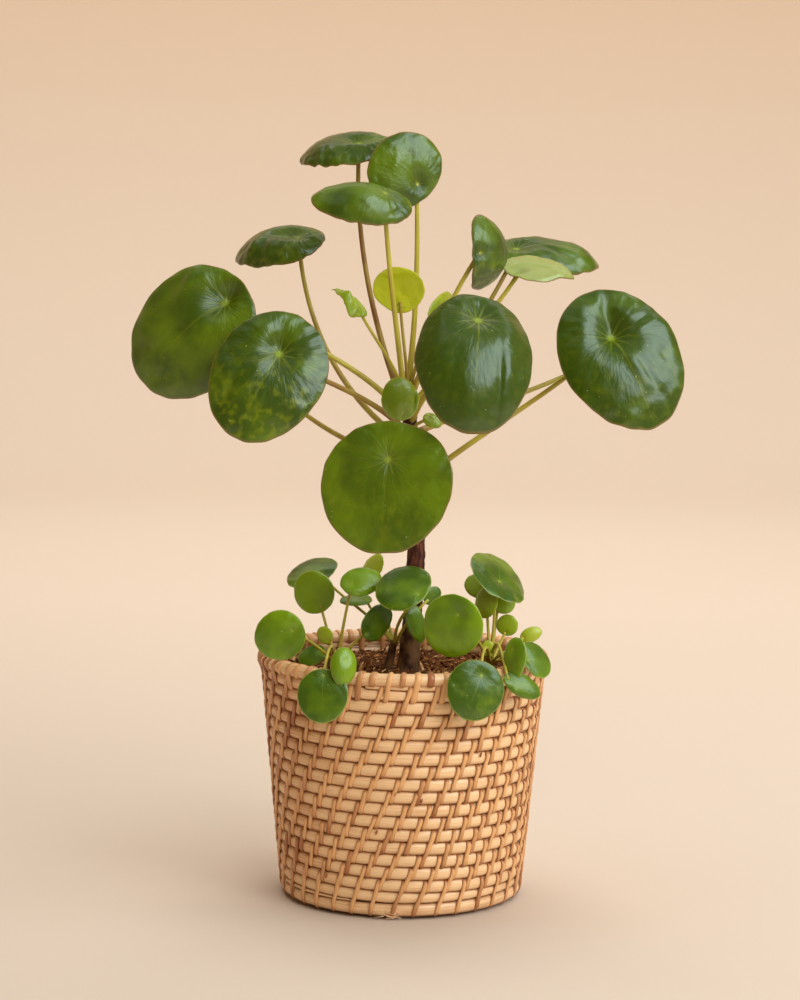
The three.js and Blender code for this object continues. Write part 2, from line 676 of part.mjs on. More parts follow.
keep(basketWall(), "basket_wall", COLOURS.cane);
keep(basketRim(), "basket_rim", COLOURS.rim);
keep(basketBase(), "basket_base", COLOURS.base);
keep(liner(), "liner", COLOURS.liner);
keep(soil(holes), "soil", COLOURS.soil);
keep(trunk(), "trunk", COLOURS.bark);
keep(crownBud(), "crown_bud", COLOURS.bud);
for (const leaf of CROWN_LEAVES) {
  const colour = leaf.name.startsWith("young") ? COLOURS.young : COLOURS.leaf;
  keep(crownLeaf(leaf, aroundTrunk), "leaf_" + leaf.name, colour);
}
for (const spec of SHOOTS) keep(shoot(spec), spec.name, COLOURS.shoot);

export default plant;
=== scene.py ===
"""A pilea in a lashed rattan basket: the dressed model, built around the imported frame.

Lengths are in millimetres until a mesh is made, where they become metres. X runs to
the right, Y away from the viewer and Z up. On the basket an angle of 0 faces the
viewer and a positive one turns towards +X.
"""

import enum
import logging
import math
from collections.abc import Sequence
from dataclasses import dataclass, field

import bpy
import numpy as np
from mathutils import Matrix, Vector

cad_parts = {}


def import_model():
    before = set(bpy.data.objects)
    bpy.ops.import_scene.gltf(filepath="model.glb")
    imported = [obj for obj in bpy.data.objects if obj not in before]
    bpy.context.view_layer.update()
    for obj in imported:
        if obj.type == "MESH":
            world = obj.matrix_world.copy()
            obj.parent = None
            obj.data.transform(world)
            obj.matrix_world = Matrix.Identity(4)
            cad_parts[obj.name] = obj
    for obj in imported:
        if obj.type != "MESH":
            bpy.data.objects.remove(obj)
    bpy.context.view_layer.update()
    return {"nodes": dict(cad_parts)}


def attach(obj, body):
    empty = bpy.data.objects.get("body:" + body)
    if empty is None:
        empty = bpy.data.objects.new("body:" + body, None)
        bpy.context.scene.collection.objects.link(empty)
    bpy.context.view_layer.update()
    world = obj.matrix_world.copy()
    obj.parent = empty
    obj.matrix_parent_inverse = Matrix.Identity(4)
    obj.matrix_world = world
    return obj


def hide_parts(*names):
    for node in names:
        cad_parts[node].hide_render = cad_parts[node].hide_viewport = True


MM = 0.001
TAU = 2.0 * math.pi
LOG = logging.getLogger("pilea")

Point = tuple[float, float, float]
Colour = tuple[float, float, float]
Pair = tuple[float, float]


def colour(red: int, green: int, blue: int) -> Colour:
    """A screen colour of 0 to 255 a channel as the linear one that a shader takes."""
    parts = [c / 255.0 for c in (red, green, blue)]
    return tuple(c / 12.92 if c <= 0.04045 else ((c + 0.055) / 1.055) ** 2.4 for c in parts)


def smooth(low: float, high: float, value: np.ndarray) -> np.ndarray:
    """0 below low, 1 above high and an S-shaped rise between: 3t^2 - 2t^3."""
    t = np.clip((value - low) / (high - low), 0.0, 1.0)
    return t * t * (3.0 - 2.0 * t)


def ripples(x: np.ndarray, y: np.ndarray, seed: int, length: float, count: int = 9) -> np.ndarray:
    """Gentle irregular bumps of about -1 to 1: a sum of sine waves in random directions.

    Args:
        x: First coordinate of each point.
        y: Second coordinate of each point.
        seed: Chooses the directions and phases.
        length: Mean wavelength, in the coordinates' unit.
        count: How many waves are summed.

    Returns:
        The height at each point.
    """
    rng = np.random.default_rng(seed)
    way = rng.uniform(0.0, TAU, count)
    phase = rng.uniform(0.0, TAU, count)
    pitch = TAU / (length * rng.uniform(0.65, 1.5, count))
    run = np.multiply.outer(x, np.cos(way) * pitch) + np.multiply.outer(y, np.sin(way) * pitch)
    return np.sin(run + phase).sum(-1) / math.sqrt(count)


def around(angle: np.ndarray, radius: np.ndarray, z: np.ndarray) -> np.ndarray:
    """Points at an angle round the basket, a radius from its axis and a height."""
    angle, radius, z = np.broadcast_arrays(angle, radius, z)
    return np.stack([radius * np.sin(angle), -radius * np.cos(angle), z], -1)


def unrolled(angle: np.ndarray, across: np.ndarray) -> np.ndarray:
    """Map coordinates of cane: along by the angle round the basket, and a place across."""
    return np.stack(np.broadcast_arrays(angle * 0.8, across), -1)


def stack_faces(rows: int, columns: int) -> tuple[np.ndarray, np.ndarray]:
    """Faces of a shell of stacked closed loops that ends on a point at each end.

    The loops' points are numbered row by row, and the two end points come after them.

    Args:
        rows: How many loops there are.
        columns: How many points a loop has.

    Returns:
        Four vertex numbers for each quad, and three for each end triangle.
    """
    index = np.arange(rows * columns).reshape(rows, columns)
    after = np.roll(index, -1, axis=1)
    quads = np.stack([index[:-1], after[:-1], after[1:], index[1:]], -1).reshape(-1, 4)
    first = np.full(columns, rows * columns)
    triangles = np.concatenate(
        [
            np.stack([first, after[0], index[0]], -1),
            np.stack([first + 1, index[-1], after[-1]], -1),
        ]
    )
    return quads, triangles


@dataclass
class Shape:
    """Closed shells gathered into one piece, with the values that its finish reads.

    Attributes:
        name: Name of the piece.
        channels: Names of the values that each vertex carries.
        points: Vertices of each shell.
        quads: Its four-sided faces.
        triangles: Its three-sided faces.
        slots: The finish of each shell, and how many quads and triangles it has.
        values: The vertices' values, by channel.
        plane: The vertices' map coordinates.
        count: How many vertices there are so far.
    """

    name: str
    channels: tuple[str, ...] = ()
    points: list[np.ndarray] = field(default_factory=list)
    quads: list[np.ndarray] = field(default_factory=list)
    triangles: list[np.ndarray] = field(default_factory=list)
    slots: list[tuple[int, int, int]] = field(default_factory=list)
    values: dict[str, list[np.ndarray]] = field(default_factory=dict)
    plane: list[np.ndarray] = field(default_factory=list)
    count: int = 0

    def add(
        self,
        points: np.ndarray,
        quads: np.ndarray,
        triangles: np.ndarray,
        slot: int = 0,
        plane: np.ndarray | None = None,
        **values: np.ndarray | float,
    ) -> None:
        """Adds one closed shell, turned so that its faces point outwards.

        The sign of the sum of a . (b x c) over its triangles says which way it faces.

        Args:
            points: Vertices, one a row.
            quads: Four vertex numbers a row.
            triangles: Three vertex numbers a row.
            slot: Which of the piece's finishes the faces take.
            plane: Two map coordinates a vertex, or None for none.
            values: A value for each vertex, or one for all, by channel.
        """
        halves = [triangles, quads[:, [0, 1, 2]], quads[:, [0, 2, 3]]]
        a, b, c = (points[np.concatenate(halves)[:, i]] for i in range(3))
        if (a * np.cross(b, c)).sum() < 0.0:
            quads, triangles = quads[:, ::-1], triangles[:, ::-1]
        self.points.append(points)
        self.quads.append(quads + self.count)
        self.triangles.append(triangles + self.count)
        self.slots.append((slot, len(quads), len(triangles)))
        self.plane.append(np.zeros((len(points), 2)) if plane is None else plane)
        for channel in self.channels:
            given = np.broadcast_to(values.get(channel, 0.0), (len(points),))
            self.values.setdefault(channel, []).append(given)
        self.count += len(points)

    def add_stack(
        self,
        loops: np.ndarray,
        slot: int = 0,
        plane: np.ndarray | None = None,
        ends: tuple[np.ndarray, np.ndarray] | None = None,
        **values: np.ndarray | float,
    ) -> None:
        """Adds a shell of stacked closed loops that ends on a point at each end.

        Args:
            loops: Points by loop and by place in the loop.
            slot: Which of the piece's finishes the faces take.
            plane: Map coordinates of the loops' points, or None.
            ends: The two end points, or None for the middles of the end loops.
            values: Values of the loops' points, or one for all, by channel.
        """
        first, last = ends if ends is not None else (loops[0].mean(0), loops[-1].mean(0))
        self.add(
            np.concatenate([loops.reshape(-1, 3), [first, last]]),
            *stack_faces(*loops.shape[:2]),
            slot,
            None if plane is None else self.closed_values(plane),
            **{k: self.closed_values(v) if np.ndim(v) == 2 else v for k, v in values.items()},
        )

    @staticmethod
    def closed_values(grid: np.ndarray) -> np.ndarray:
        """A grid of values, and those of the two end points, which are their loops' means."""
        flat = grid.reshape(-1, *grid.shape[2:])
        return np.concatenate([flat, grid[:1].mean(1), grid[-1:].mean(1)])

    def add_many(self, loops: np.ndarray, **values: np.ndarray) -> None:
        """Adds many alike shells of stacked loops at once, in the piece's first finish.

        Args:
            loops: Points by shell, by loop and by place in the loop.
            values: By channel, a value a shell, one a loop or one a point.
        """
        many, rows, columns = loops.shape[:3]
        size = rows * columns + 2
        spread = {}
        for name, value in values.items():
            value = value.reshape(value.shape + (1,) * (3 - value.ndim))
            value = np.broadcast_to(value, loops.shape[:3])
            caps = value[:, [0, -1]].mean(2)
            spread[name] = np.concatenate([value.reshape(many, -1), caps], 1).ravel()
        ends = np.stack([loops[:, 0].mean(1), loops[:, -1].mean(1)], 1)
        points = np.concatenate([loops.reshape(many, -1, 3), ends], 1).reshape(-1, 3)
        quads, triangles = stack_faces(rows, columns)
        shift = (np.arange(many) * size)[:, None, None]
        self.add(
            points,
            (quads[None] + shift).reshape(-1, 4),
            (triangles[None] + shift).reshape(-1, 3),
            **spread,
        )

    def add_ring(self, loops: np.ndarray, plane: np.ndarray, **values: np.ndarray | float) -> None:
        """Adds a ring-shaped shell: loops round a section, the last joined to the first.

        Args:
            loops: Points by place round the section and by place round the ring.
            plane: Their map coordinates.
            values: Values of the points, or one for all, by channel.
        """
        rows, columns = loops.shape[:2]
        index = np.arange(rows * columns).reshape(rows, columns)
        below, after = np.roll(index, -1, axis=0), np.roll(index, -1, axis=1)
        corner = np.roll(below, -1, axis=1)
        quads = np.stack([index, after, corner, below], -1).reshape(-1, 4)
        flat = {k: v.reshape(-1) if np.ndim(v) == 2 else v for k, v in values.items()}
        self.add(
            loops.reshape(-1, 3),
            quads,
            np.zeros((0, 3), int),
            plane=plane.reshape(-1, 2),
            **flat,
        )

    def build(
        self,
        finishes: Sequence[bpy.types.Material],
        replaces: Sequence[str] = (),
    ) -> None:
        """Makes the mesh and its object, and reports it to the frame.

        Args:
            finishes: Materials, in the order of the shells' slots.
            replaces: Names of the solids that the piece stands for.
        """
        points = np.concatenate(self.points) * MM
        quads, triangles = np.concatenate(self.quads), np.concatenate(self.triangles)
        corners = np.concatenate([quads.ravel(), triangles.ravel()]).astype(np.int32)
        starts = np.concatenate(
            [np.arange(len(quads)) * 4, quads.size + np.arange(len(triangles)) * 3]
        ).astype(np.int32)
        slot_of, fours, threes = np.array(self.slots).T
        slots = np.concatenate([np.repeat(slot_of, fours), np.repeat(slot_of, threes)])
        mesh = bpy.data.meshes.new(self.name)
        mesh.vertices.add(len(points))
        mesh.vertices.foreach_set("co", points.astype(np.float32).ravel())
        mesh.loops.add(len(corners))
        mesh.loops.foreach_set("vertex_index", corners)
        mesh.polygons.add(len(starts))
        mesh.polygons.foreach_set("loop_start", starts)
        mesh.polygons.foreach_set("material_index", slots.astype(np.int32))
        mesh.polygons.foreach_set("use_smooth", np.ones(len(starts), bool))
        mesh.update(calc_edges=True)
        plane = np.concatenate(self.plane)[corners].astype(np.float32)
        mesh.uv_layers.new(name="plane").uv.foreach_set("vector", plane.ravel())
        for channel in self.channels:
            made = mesh.attributes.new(channel, "FLOAT", "POINT")
            worth = np.concatenate(self.values[channel]).astype(np.float32)
            made.data.foreach_set("value", worth)
        for finish in finishes:
            mesh.materials.append(finish)
        piece = bpy.data.objects.new(self.name, mesh)
        bpy.context.scene.collection.objects.link(piece)
        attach(piece, "root")
        if replaces:
            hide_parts(*replaces)
        LOG.info("%s: %d triangles", self.name, 2 * len(quads) + len(triangles))


Socket = bpy.types.NodeSocket
Feed = Socket | float | Colour


class Wiring:
    """The nodes of one material, made and joined by short calls."""

    def __init__(self, name: str, roughness: float, specular: float = 0.5) -> None:
        """Starts a material with a plain shader.

        Args:
            name: Name of the material.
            roughness: The shader's roughness.
            specular: Strength of its plain reflection.
        """
        self.material = bpy.data.materials.new(name)
        self.material.use_nodes = True
        self.nodes = self.material.node_tree.nodes
        self.links = self.material.node_tree.links
        self.shader = self.nodes["Principled BSDF"]
        self.shader.inputs["Roughness"].default_value = roughness
        self.shader.inputs["Specular IOR Level"].default_value = specular

    def feed(self, socket: Socket, value: Feed) -> None:
        """Links a socket to another one, or sets its number or colour.

        Args:
            socket: The socket that takes the value.
            value: Another socket, a number, a colour or a vector.
        """
        if isinstance(value, Socket):
            self.links.new(value, socket)
        elif isinstance(value, tuple) and len(socket.default_value) == 4:
            socket.default_value = (*value, 1.0)
        else:
            socket.default_value = value

    def set(self, socket: str, value: Feed) -> None:
        """Feeds one of the shader's own sockets."""
        self.feed(self.shader.inputs[socket], value)

    def own(self, channel: str) -> Socket:
        """A value that the piece's vertices carry.

        Args:
            channel: Name of the value.

        Returns:
            The socket that gives it.
        """
        node = self.nodes.new("ShaderNodeAttribute")
        node.attribute_name = channel
        return node.outputs["Fac"]

    def place(self, kind: str = "Object") -> Socket:
        """The point on the piece, in metres, or its map coordinates for "UV"."""
        return self.nodes.new("ShaderNodeTexCoord").outputs[kind]

    def maths(self, way: str, a: Feed, b: Feed = 0.0, clamp: bool = False) -> Socket:
        """One sum of two numbers.

        Args:
            way: Which sum.
            a: The first number.
            b: The second number.
            clamp: Whether the result is held between 0 and 1.

        Returns:
            The socket that gives it.
        """
        node = self.nodes.new("ShaderNodeMath")
        node.operation = way
        node.use_clamp = clamp
        self.feed(node.inputs[0], a)
        self.feed(node.inputs[1], b)
        return node.outputs[0]

    def vector(self, way: str, a: Feed, b: Feed = (0.0, 0.0, 0.0), scale: float = 1.0) -> Socket:
        """One sum of two vectors.

        Args:
            way: Which sum; LENGTH gives a number.
            a: The first vector.
            b: The second vector, where the sum takes one.
            scale: The factor of SCALE.

        Returns:
            The socket that gives it.
        """
        node = self.nodes.new("ShaderNodeVectorMath")
        node.operation = way
        self.feed(node.inputs[0], a)
        if way == "SCALE":
            node.inputs["Scale"].default_value = scale
        elif way not in ("NORMALIZE", "LENGTH"):
            self.feed(node.inputs[1], b)
        return node.outputs["Value" if way == "LENGTH" else "Vector"]

    def upright(self, z: Feed) -> Socket:
        """The vector (0, 0, z)."""
        return self.join(0.0, 0.0, z)

    def split(self, vector: Socket) -> tuple[Socket, Socket, Socket]:
        """Takes a vector apart.

        Args:
            vector: The vector.

        Returns:
            The sockets of its three parts.
        """
        node = self.nodes.new("ShaderNodeSeparateXYZ")
        self.feed(node.inputs[0], vector)
        return node.outputs[0], node.outputs[1], node.outputs[2]

    def join(self, x: Feed, y: Feed, z: Feed = 0.0) -> Socket:
        """Puts a vector together.

        Args:
            x: Its first part.
            y: Its second part.
            z: Its third part.

        Returns:
            The socket that gives it.
        """
        node = self.nodes.new("ShaderNodeCombineXYZ")
        for socket, value in zip(node.inputs, (x, y, z)):
            self.feed(socket, value)
        return node.outputs[0]

    def noise(self, at: Socket, scale: float, detail: float = 2.0, rough: float = 0.5) -> Socket:
        """Cloudy noise of 0 to 1, about 0.5 on the whole.

        Args:
            at: Where it is read.
            scale: How fine it is.
            detail: How many finer layers it has.
            rough: How strong each finer layer is.

        Returns:
            The socket that gives it.
        """
        node = self.nodes.new("ShaderNodeTexNoise")
        self.feed(node.inputs["Vector"], at)
        node.inputs["Scale"].default_value = scale
        node.inputs["Detail"].default_value = detail
        node.inputs["Roughness"].default_value = rough
        return node.outputs[0]

    def rise(self, value: Socket, low: float, high: float, to: Sequence[float] = (0, 1)) -> Socket:
        """An S-shaped rise as a value goes from low to high.

        Args:
            value: The value.
            low: Where the rise starts; it may be the larger of the two.
            high: Where it ends.
            to: What it gives at its start and at its end.

        Returns:
            The socket that gives it.
        """
        node = self.nodes.new("ShaderNodeMapRange")
        node.interpolation_type = "SMOOTHSTEP"
        self.feed(node.inputs["Value"], value)
        falls = low > high
        node.inputs["From Min"].default_value = min(low, high)
        node.inputs["From Max"].default_value = max(low, high)
        node.inputs["To Min"].default_value = to[1] if falls else to[0]
        node.inputs["To Max"].default_value = to[0] if falls else to[1]
        return node.outputs["Result"]

    def mix(self, share: Feed, a: Feed, b: Feed) -> Socket:
        """One colour laid over another.

        Args:
            share: How much of the upper one shows, 0 to 1.
            a: The lower colour.
            b: The upper colour.

        Returns:
            The socket that gives it.
        """
        node = self.nodes.new("ShaderNodeMix")
        node.data_type = "RGBA"
        self.feed(node.inputs[0], share)
        self.feed(node.inputs[6], a)
        self.feed(node.inputs[7], b)
        return node.outputs[2]

    def relief(self, height: Socket, distance: float, strength: float = 1.0) -> None:
        """Fine relief under the shader.

        Args:
            height: Its height, about 0 to 1.
            distance: Its depth in metres.
            strength: How much of it shows.
        """
        node = self.nodes.new("ShaderNodeBump")
        node.inputs["Strength"].default_value = strength
        node.inputs["Distance"].default_value = distance
        self.feed(node.inputs["Height"], height)
        self.set("Normal", node.outputs[0])


@dataclass(frozen=True)
class BladeFinish:
    """A leaf blade: glossy green with veins that fan out from the stalk's point.

    Attributes:
        name: Name of the material.
        deep: Colour of the darkest green.
        bright: Colour of the lightest green.
        spots: Colour of the yellowish mottling.
        beneath: Colour of the underside.
        rim: Colour of the thin margin.
        roughness: How matt the upper face is.
        glow: How much light comes through the blade.
        veins: How many veins leave the stalk's point.
        pale: Colour of a blade that is still whitish, at a tone of 1.8.
        grain: Strength of the fine puckers.
    """

    name: str
    deep: Colour
    bright: Colour
    spots: Colour
    beneath: Colour
    rim: Colour
    roughness: float = 0.3
    glow: float = 0.12
    veins: int = 11
    pale: Colour = colour(202, 208, 132)
    grain: float = 0.6

    def make(self) -> bpy.types.Material:
        """Builds the material.

        Returns:
            The finished material.
        """
        w = Wiring(self.name, self.roughness)
        at, tone, seed = w.place(), w.own("tone"), w.own("seed")
        flat = w.vector("SUBTRACT", w.place("UV"), (0.5, 0.5, 0.0))
        reach = w.vector("LENGTH", flat)
        x, y, _ = w.split(flat)
        turn = w.maths("MULTIPLY", w.maths("ARCTAN2", y, x), self.veins / TAU)
        sway = w.maths("MULTIPLY", w.noise(at, 55.0, 1.0), 0.9)
        spoke = w.maths("FRACT", w.maths("ADD", w.maths("ADD", turn, sway), seed))
        aside = w.maths("MULTIPLY", w.maths("ABSOLUTE", w.maths("SUBTRACT", spoke, 0.5)), reach)
        line = w.rise(aside, 0.011, 0.0)
        fan = w.vector("SCALE", w.vector("NORMALIZE", flat), scale=1.3)
        climb = w.upright(w.maths("ADD", w.maths("MULTIPLY", reach, 3.2), seed))
        pucker = w.noise(w.vector("ADD", fan, climb), 8.0, 2.5, 0.55)
        cloud = w.noise(at, 40.0, 2.0)
        share = w.maths("ADD", w.rise(cloud, 0.3, 0.7, (-0.1, 0.75)), tone, clamp=True)
        green = w.mix(share, self.deep, self.bright)
        green = w.mix(w.rise(tone, 0.8, 1.8), green, self.pale)
        blotch = w.rise(w.noise(at, 200.0, 2.0, 0.5), 0.44, 0.7, (0.0, 0.42))
        green = w.mix(w.maths("MULTIPLY", blotch, w.own("mottle")), green, self.spots)
        near = w.rise(reach, 0.1, 0.005, (0.0, 0.4))
        green = w.mix(w.maths("MULTIPLY", line, near), green, self.spots)
        ahead = w.maths("MULTIPLY", w.rise(x, 0.36, 0.1, (0.0, 0.3)), w.rise(x, 0.0, 0.02))
        rib = w.rise(w.maths("ABSOLUTE", y), 0.0045, 0.0)
        green = w.mix(w.maths("MULTIPLY", rib, ahead), green, self.spots)
        dot = w.rise(reach, 0.02, 0.004, (0.0, 0.85))
        green = w.mix(dot, green, colour(150, 176, 40))
        speck = w.rise(w.noise(at, 640.0, 0.0), 0.84, 0.88, (0.0, 0.45))
        green = w.mix(speck, green, colour(190, 200, 130))
        margin = w.rise(w.own("reach"), 0.984, 0.996, (0.0, 0.65))
        green = w.mix(margin, green, self.rim)
        freckle = w.rise(w.noise(at, 330.0, 1.0), 0.62, 0.68, (0.0, 0.8))
        under = w.mix(w.maths("MULTIPLY", freckle, w.own("mottle")), self.beneath, self.deep)
        w.set("Base Color", w.mix(w.own("under"), green, under))
        pores = w.noise(at, 1500.0, 2.0)
        height = w.maths("ADD", w.maths("MULTIPLY", pores, 0.05), pucker)
        height = w.maths("SUBTRACT", height, w.maths("MULTIPLY", line, near))
        w.relief(height, 0.0008, self.grain)
        dull = w.maths("ADD", w.maths("MULTIPLY", pucker, 0.12), self.roughness - 0.06)
        w.set("Roughness", w.maths("ADD", dull, w.maths("MULTIPLY", w.own("under"), 0.22)))
        w.set("Coat Weight", 0.4)
        w.set("Coat Roughness", 0.19)
        w.set("Subsurface Weight", self.glow)
        w.set("Subsurface Radius", (0.5, 0.9, 0.1))
        w.set("Subsurface Scale", 0.003)
        return w.material


@dataclass(frozen=True)
class StalkFinish:
    """A leaf stalk, from green to brown by its tone.

    Attributes:
        name: Name of the material.
        green: Colour at a tone of 0.
        brown: Colour at a tone of 1.
    """

    name: str
    green: Colour
    brown: Colour

    def make(self) -> bpy.types.Material:
        """Builds the material.

        Returns:
            The finished material.
        """
        w = Wiring(self.name, 0.42)
        at = w.place()
        cloud = w.rise(w.noise(at, 60.0, 2.0), 0.35, 0.65, (-0.15, 0.15))
        share = w.maths("ADD", w.own("tone"), cloud, clamp=True)
        w.set("Base Color", w.mix(share, self.green, self.brown))
        w.relief(w.noise(at, 900.0, 2.0), 0.0002, 0.4)
        w.set("Subsurface Weight", 0.08)
        w.set("Subsurface Scale", 0.001)
        return w.material


@dataclass(frozen=True)
class CaneFinish:
    """Split cane: pale streaks along it, brown painted shade in the creases, lightly varnished.

    Attributes:
        name: Name of the material.
        pale: Colour of the lightest cane.
        warm: Colour of the darkest cane.
        crease: Colour of the painted shade in creases and of the dark grain threads.
        grain: How many streaks the map shows along and across.
    """

    name: str
    pale: Colour
    warm: Colour
    crease: Colour
    grain: Pair = (2.2, 26.0)

    def make(self) -> bpy.types.Material:
        """Builds the material.

        Returns:
            The finished material.
        """
        w = Wiring(self.name, 0.42)
        along, across, _ = w.split(w.place("UV"))
        grain = w.join(
            w.maths("MULTIPLY", along, self.grain[0]),
            w.maths("MULTIPLY", across, self.grain[1]),
            w.own("tone"),
        )
        streak = w.noise(grain, 1.0, 3.0, 0.6)
        patch = w.noise(w.place(), 45.0, 2.0)
        share = w.maths("ADD", w.rise(streak, 0.3, 0.72, (-0.25, 0.3)), w.own("tone"))
        share = w.maths("ADD", share, w.rise(patch, 0.3, 0.7, (-0.12, 0.16)), clamp=True)
        cane = w.mix(share, self.pale, self.warm)
        thread = w.rise(w.noise(grain, 3.1, 1.0), 0.62, 0.7)
        cane = w.mix(w.maths("MULTIPLY", thread, 0.3), cane, self.crease)
        # Painted shade: the crease value pulls the cane towards this brown in creases, on rods'
        # lower sides and at strip edges.
        cane = w.mix(w.maths("MULTIPLY", w.own("crease"), 0.95), cane, self.crease)
        w.set("Base Color", cane)
        w.relief(streak, 0.0005, 0.5)
        w.set("Roughness", w.rise(streak, 0.2, 0.8, (0.34, 0.5)))
        w.set("Coat Weight", 0.26)
        w.set("Coat Roughness", 0.26)
        return w.material


@dataclass(frozen=True)
class BarkFinish:
    """Bark: dark red-brown above, olive-brown near the soil, finely split.

    Attributes:
        name: Name of the material.
        dark: Colour of the splits.
        light: Colour between them higher up.
        low: Colour of the patches near the soil.
    """

    name: str = "bark"
    dark: Colour = colour(58, 32, 24)
    light: Colour = colour(116, 66, 46)
    low: Colour = colour(122, 90, 58)

    def make(self) -> bpy.types.Material:
        """Builds the material.

        Returns:
            The finished material.
        """
        w = Wiring(self.name, 0.6, 0.2)
        at = w.place()
        x, y, z = w.split(at)
        split = w.noise(w.join(x, y, w.maths("MULTIPLY", z, 0.3)), 420.0, 4.0, 0.6)
        patch = w.noise(at, 110.0, 3.0)
        low = w.mix(w.rise(patch, 0.35, 0.7), self.dark, self.low)
        high = w.mix(w.rise(split, 0.42, 0.72), self.dark, self.light)
        bark = w.mix(w.rise(z, 0.152, 0.19), low, high)
        fleck = w.rise(w.noise(at, 260.0, 2.0), 0.66, 0.72)
        bark = w.mix(w.maths("MULTIPLY", fleck, 0.5), bark, colour(140, 104, 72))
        bark = w.mix(w.own("scar"), bark, colour(132, 88, 58))
        w.set("Base Color", bark)
        w.relief(w.maths("ADD", split, w.maths("MULTIPLY", patch, 0.6)), 0.0009, 0.7)
        return w.material


@dataclass(frozen=True)
class ChipFinish:
    """Bark chips and coir: each chip has its own brown, by its tone.

    Attributes:
        name: Name of the material.
        dark: Colour of the darkest chips.
        mid: Colour of most chips.
        light: Colour of the palest chips.
    """

    name: str
    dark: Colour = colour(80, 46, 24)
    mid: Colour = colour(184, 122, 68)
    light: Colour = colour(238, 196, 140)

    def make(self) -> bpy.types.Material:
        """Builds the material.

        Returns:
            The finished material.
        """
        w = Wiring(self.name, 0.85, 0.12)
        at, tone = w.place(), w.own("tone")
        speck = w.rise(w.noise(at, 480.0, 3.0, 0.7), 0.3, 0.75, (-0.2, 0.25))
        share = w.maths("ADD", tone, speck, clamp=True)
        brown = w.mix(w.rise(share, 0.0, 0.7), self.dark, self.mid)
        w.set("Base Color", w.mix(w.rise(share, 0.72, 1.0), brown, self.light))
        w.relief(w.noise(at, 900.0, 4.0, 0.7), 0.0012, 0.8)
        return w.material


@dataclass(frozen=True)
class PlainFinish:
    """A one-colour material with a slight cloud in it.

    Attributes:
        name: Name of the material.
        main: Its colour.
        other: Colour of the cloud.
        roughness: How matt it is.
        scale: How fine the cloud is.
    """

    name: str
    main: Colour
    other: Colour
    roughness: float
    scale: float = 60.0

    def make(self) -> bpy.types.Material:
        """Builds the material.

        Returns:
            The finished material.
        """
        w = Wiring(self.name, self.roughness)
        cloud = w.noise(w.place(), self.scale, 3.0)
        w.set("Base Color", w.mix(w.rise(cloud, 0.3, 0.7), self.main, self.other))
        w.relief(cloud, 0.0003, 0.4)
        return w.material


class Age(enum.Enum):
    """How old a leaf is, which sets its section, its mesh and its finish."""

    MATURE = "mature"
    YOUNG = "young"
    SHOOT = "shoot"


@dataclass(frozen=True)
class Section:
    """Thickness of a blade and its stalk, and how finely each is divided.

    Attributes:
        thick: Thickness of the blade.
        root: Radius of the stalk at the trunk.
        tip: Radius of the stalk at the blade.
        sectors: How many points a ring of the blade has.
        rings: How many rings each face has.
        steps: How many lengths the stalk has.
    """

    thick: float
    root: float
    tip: float
    sectors: int
    rings: int
    steps: int


SECTIONS = {
    Age.MATURE: Section(1.1, 1.9, 1.25, 144, 44, 24),
    Age.YOUNG: Section(0.9, 1.1, 0.9, 88, 26, 16),
    Age.SHOOT: Section(0.8, 1.0, 0.8, 64, 20, 14),
}


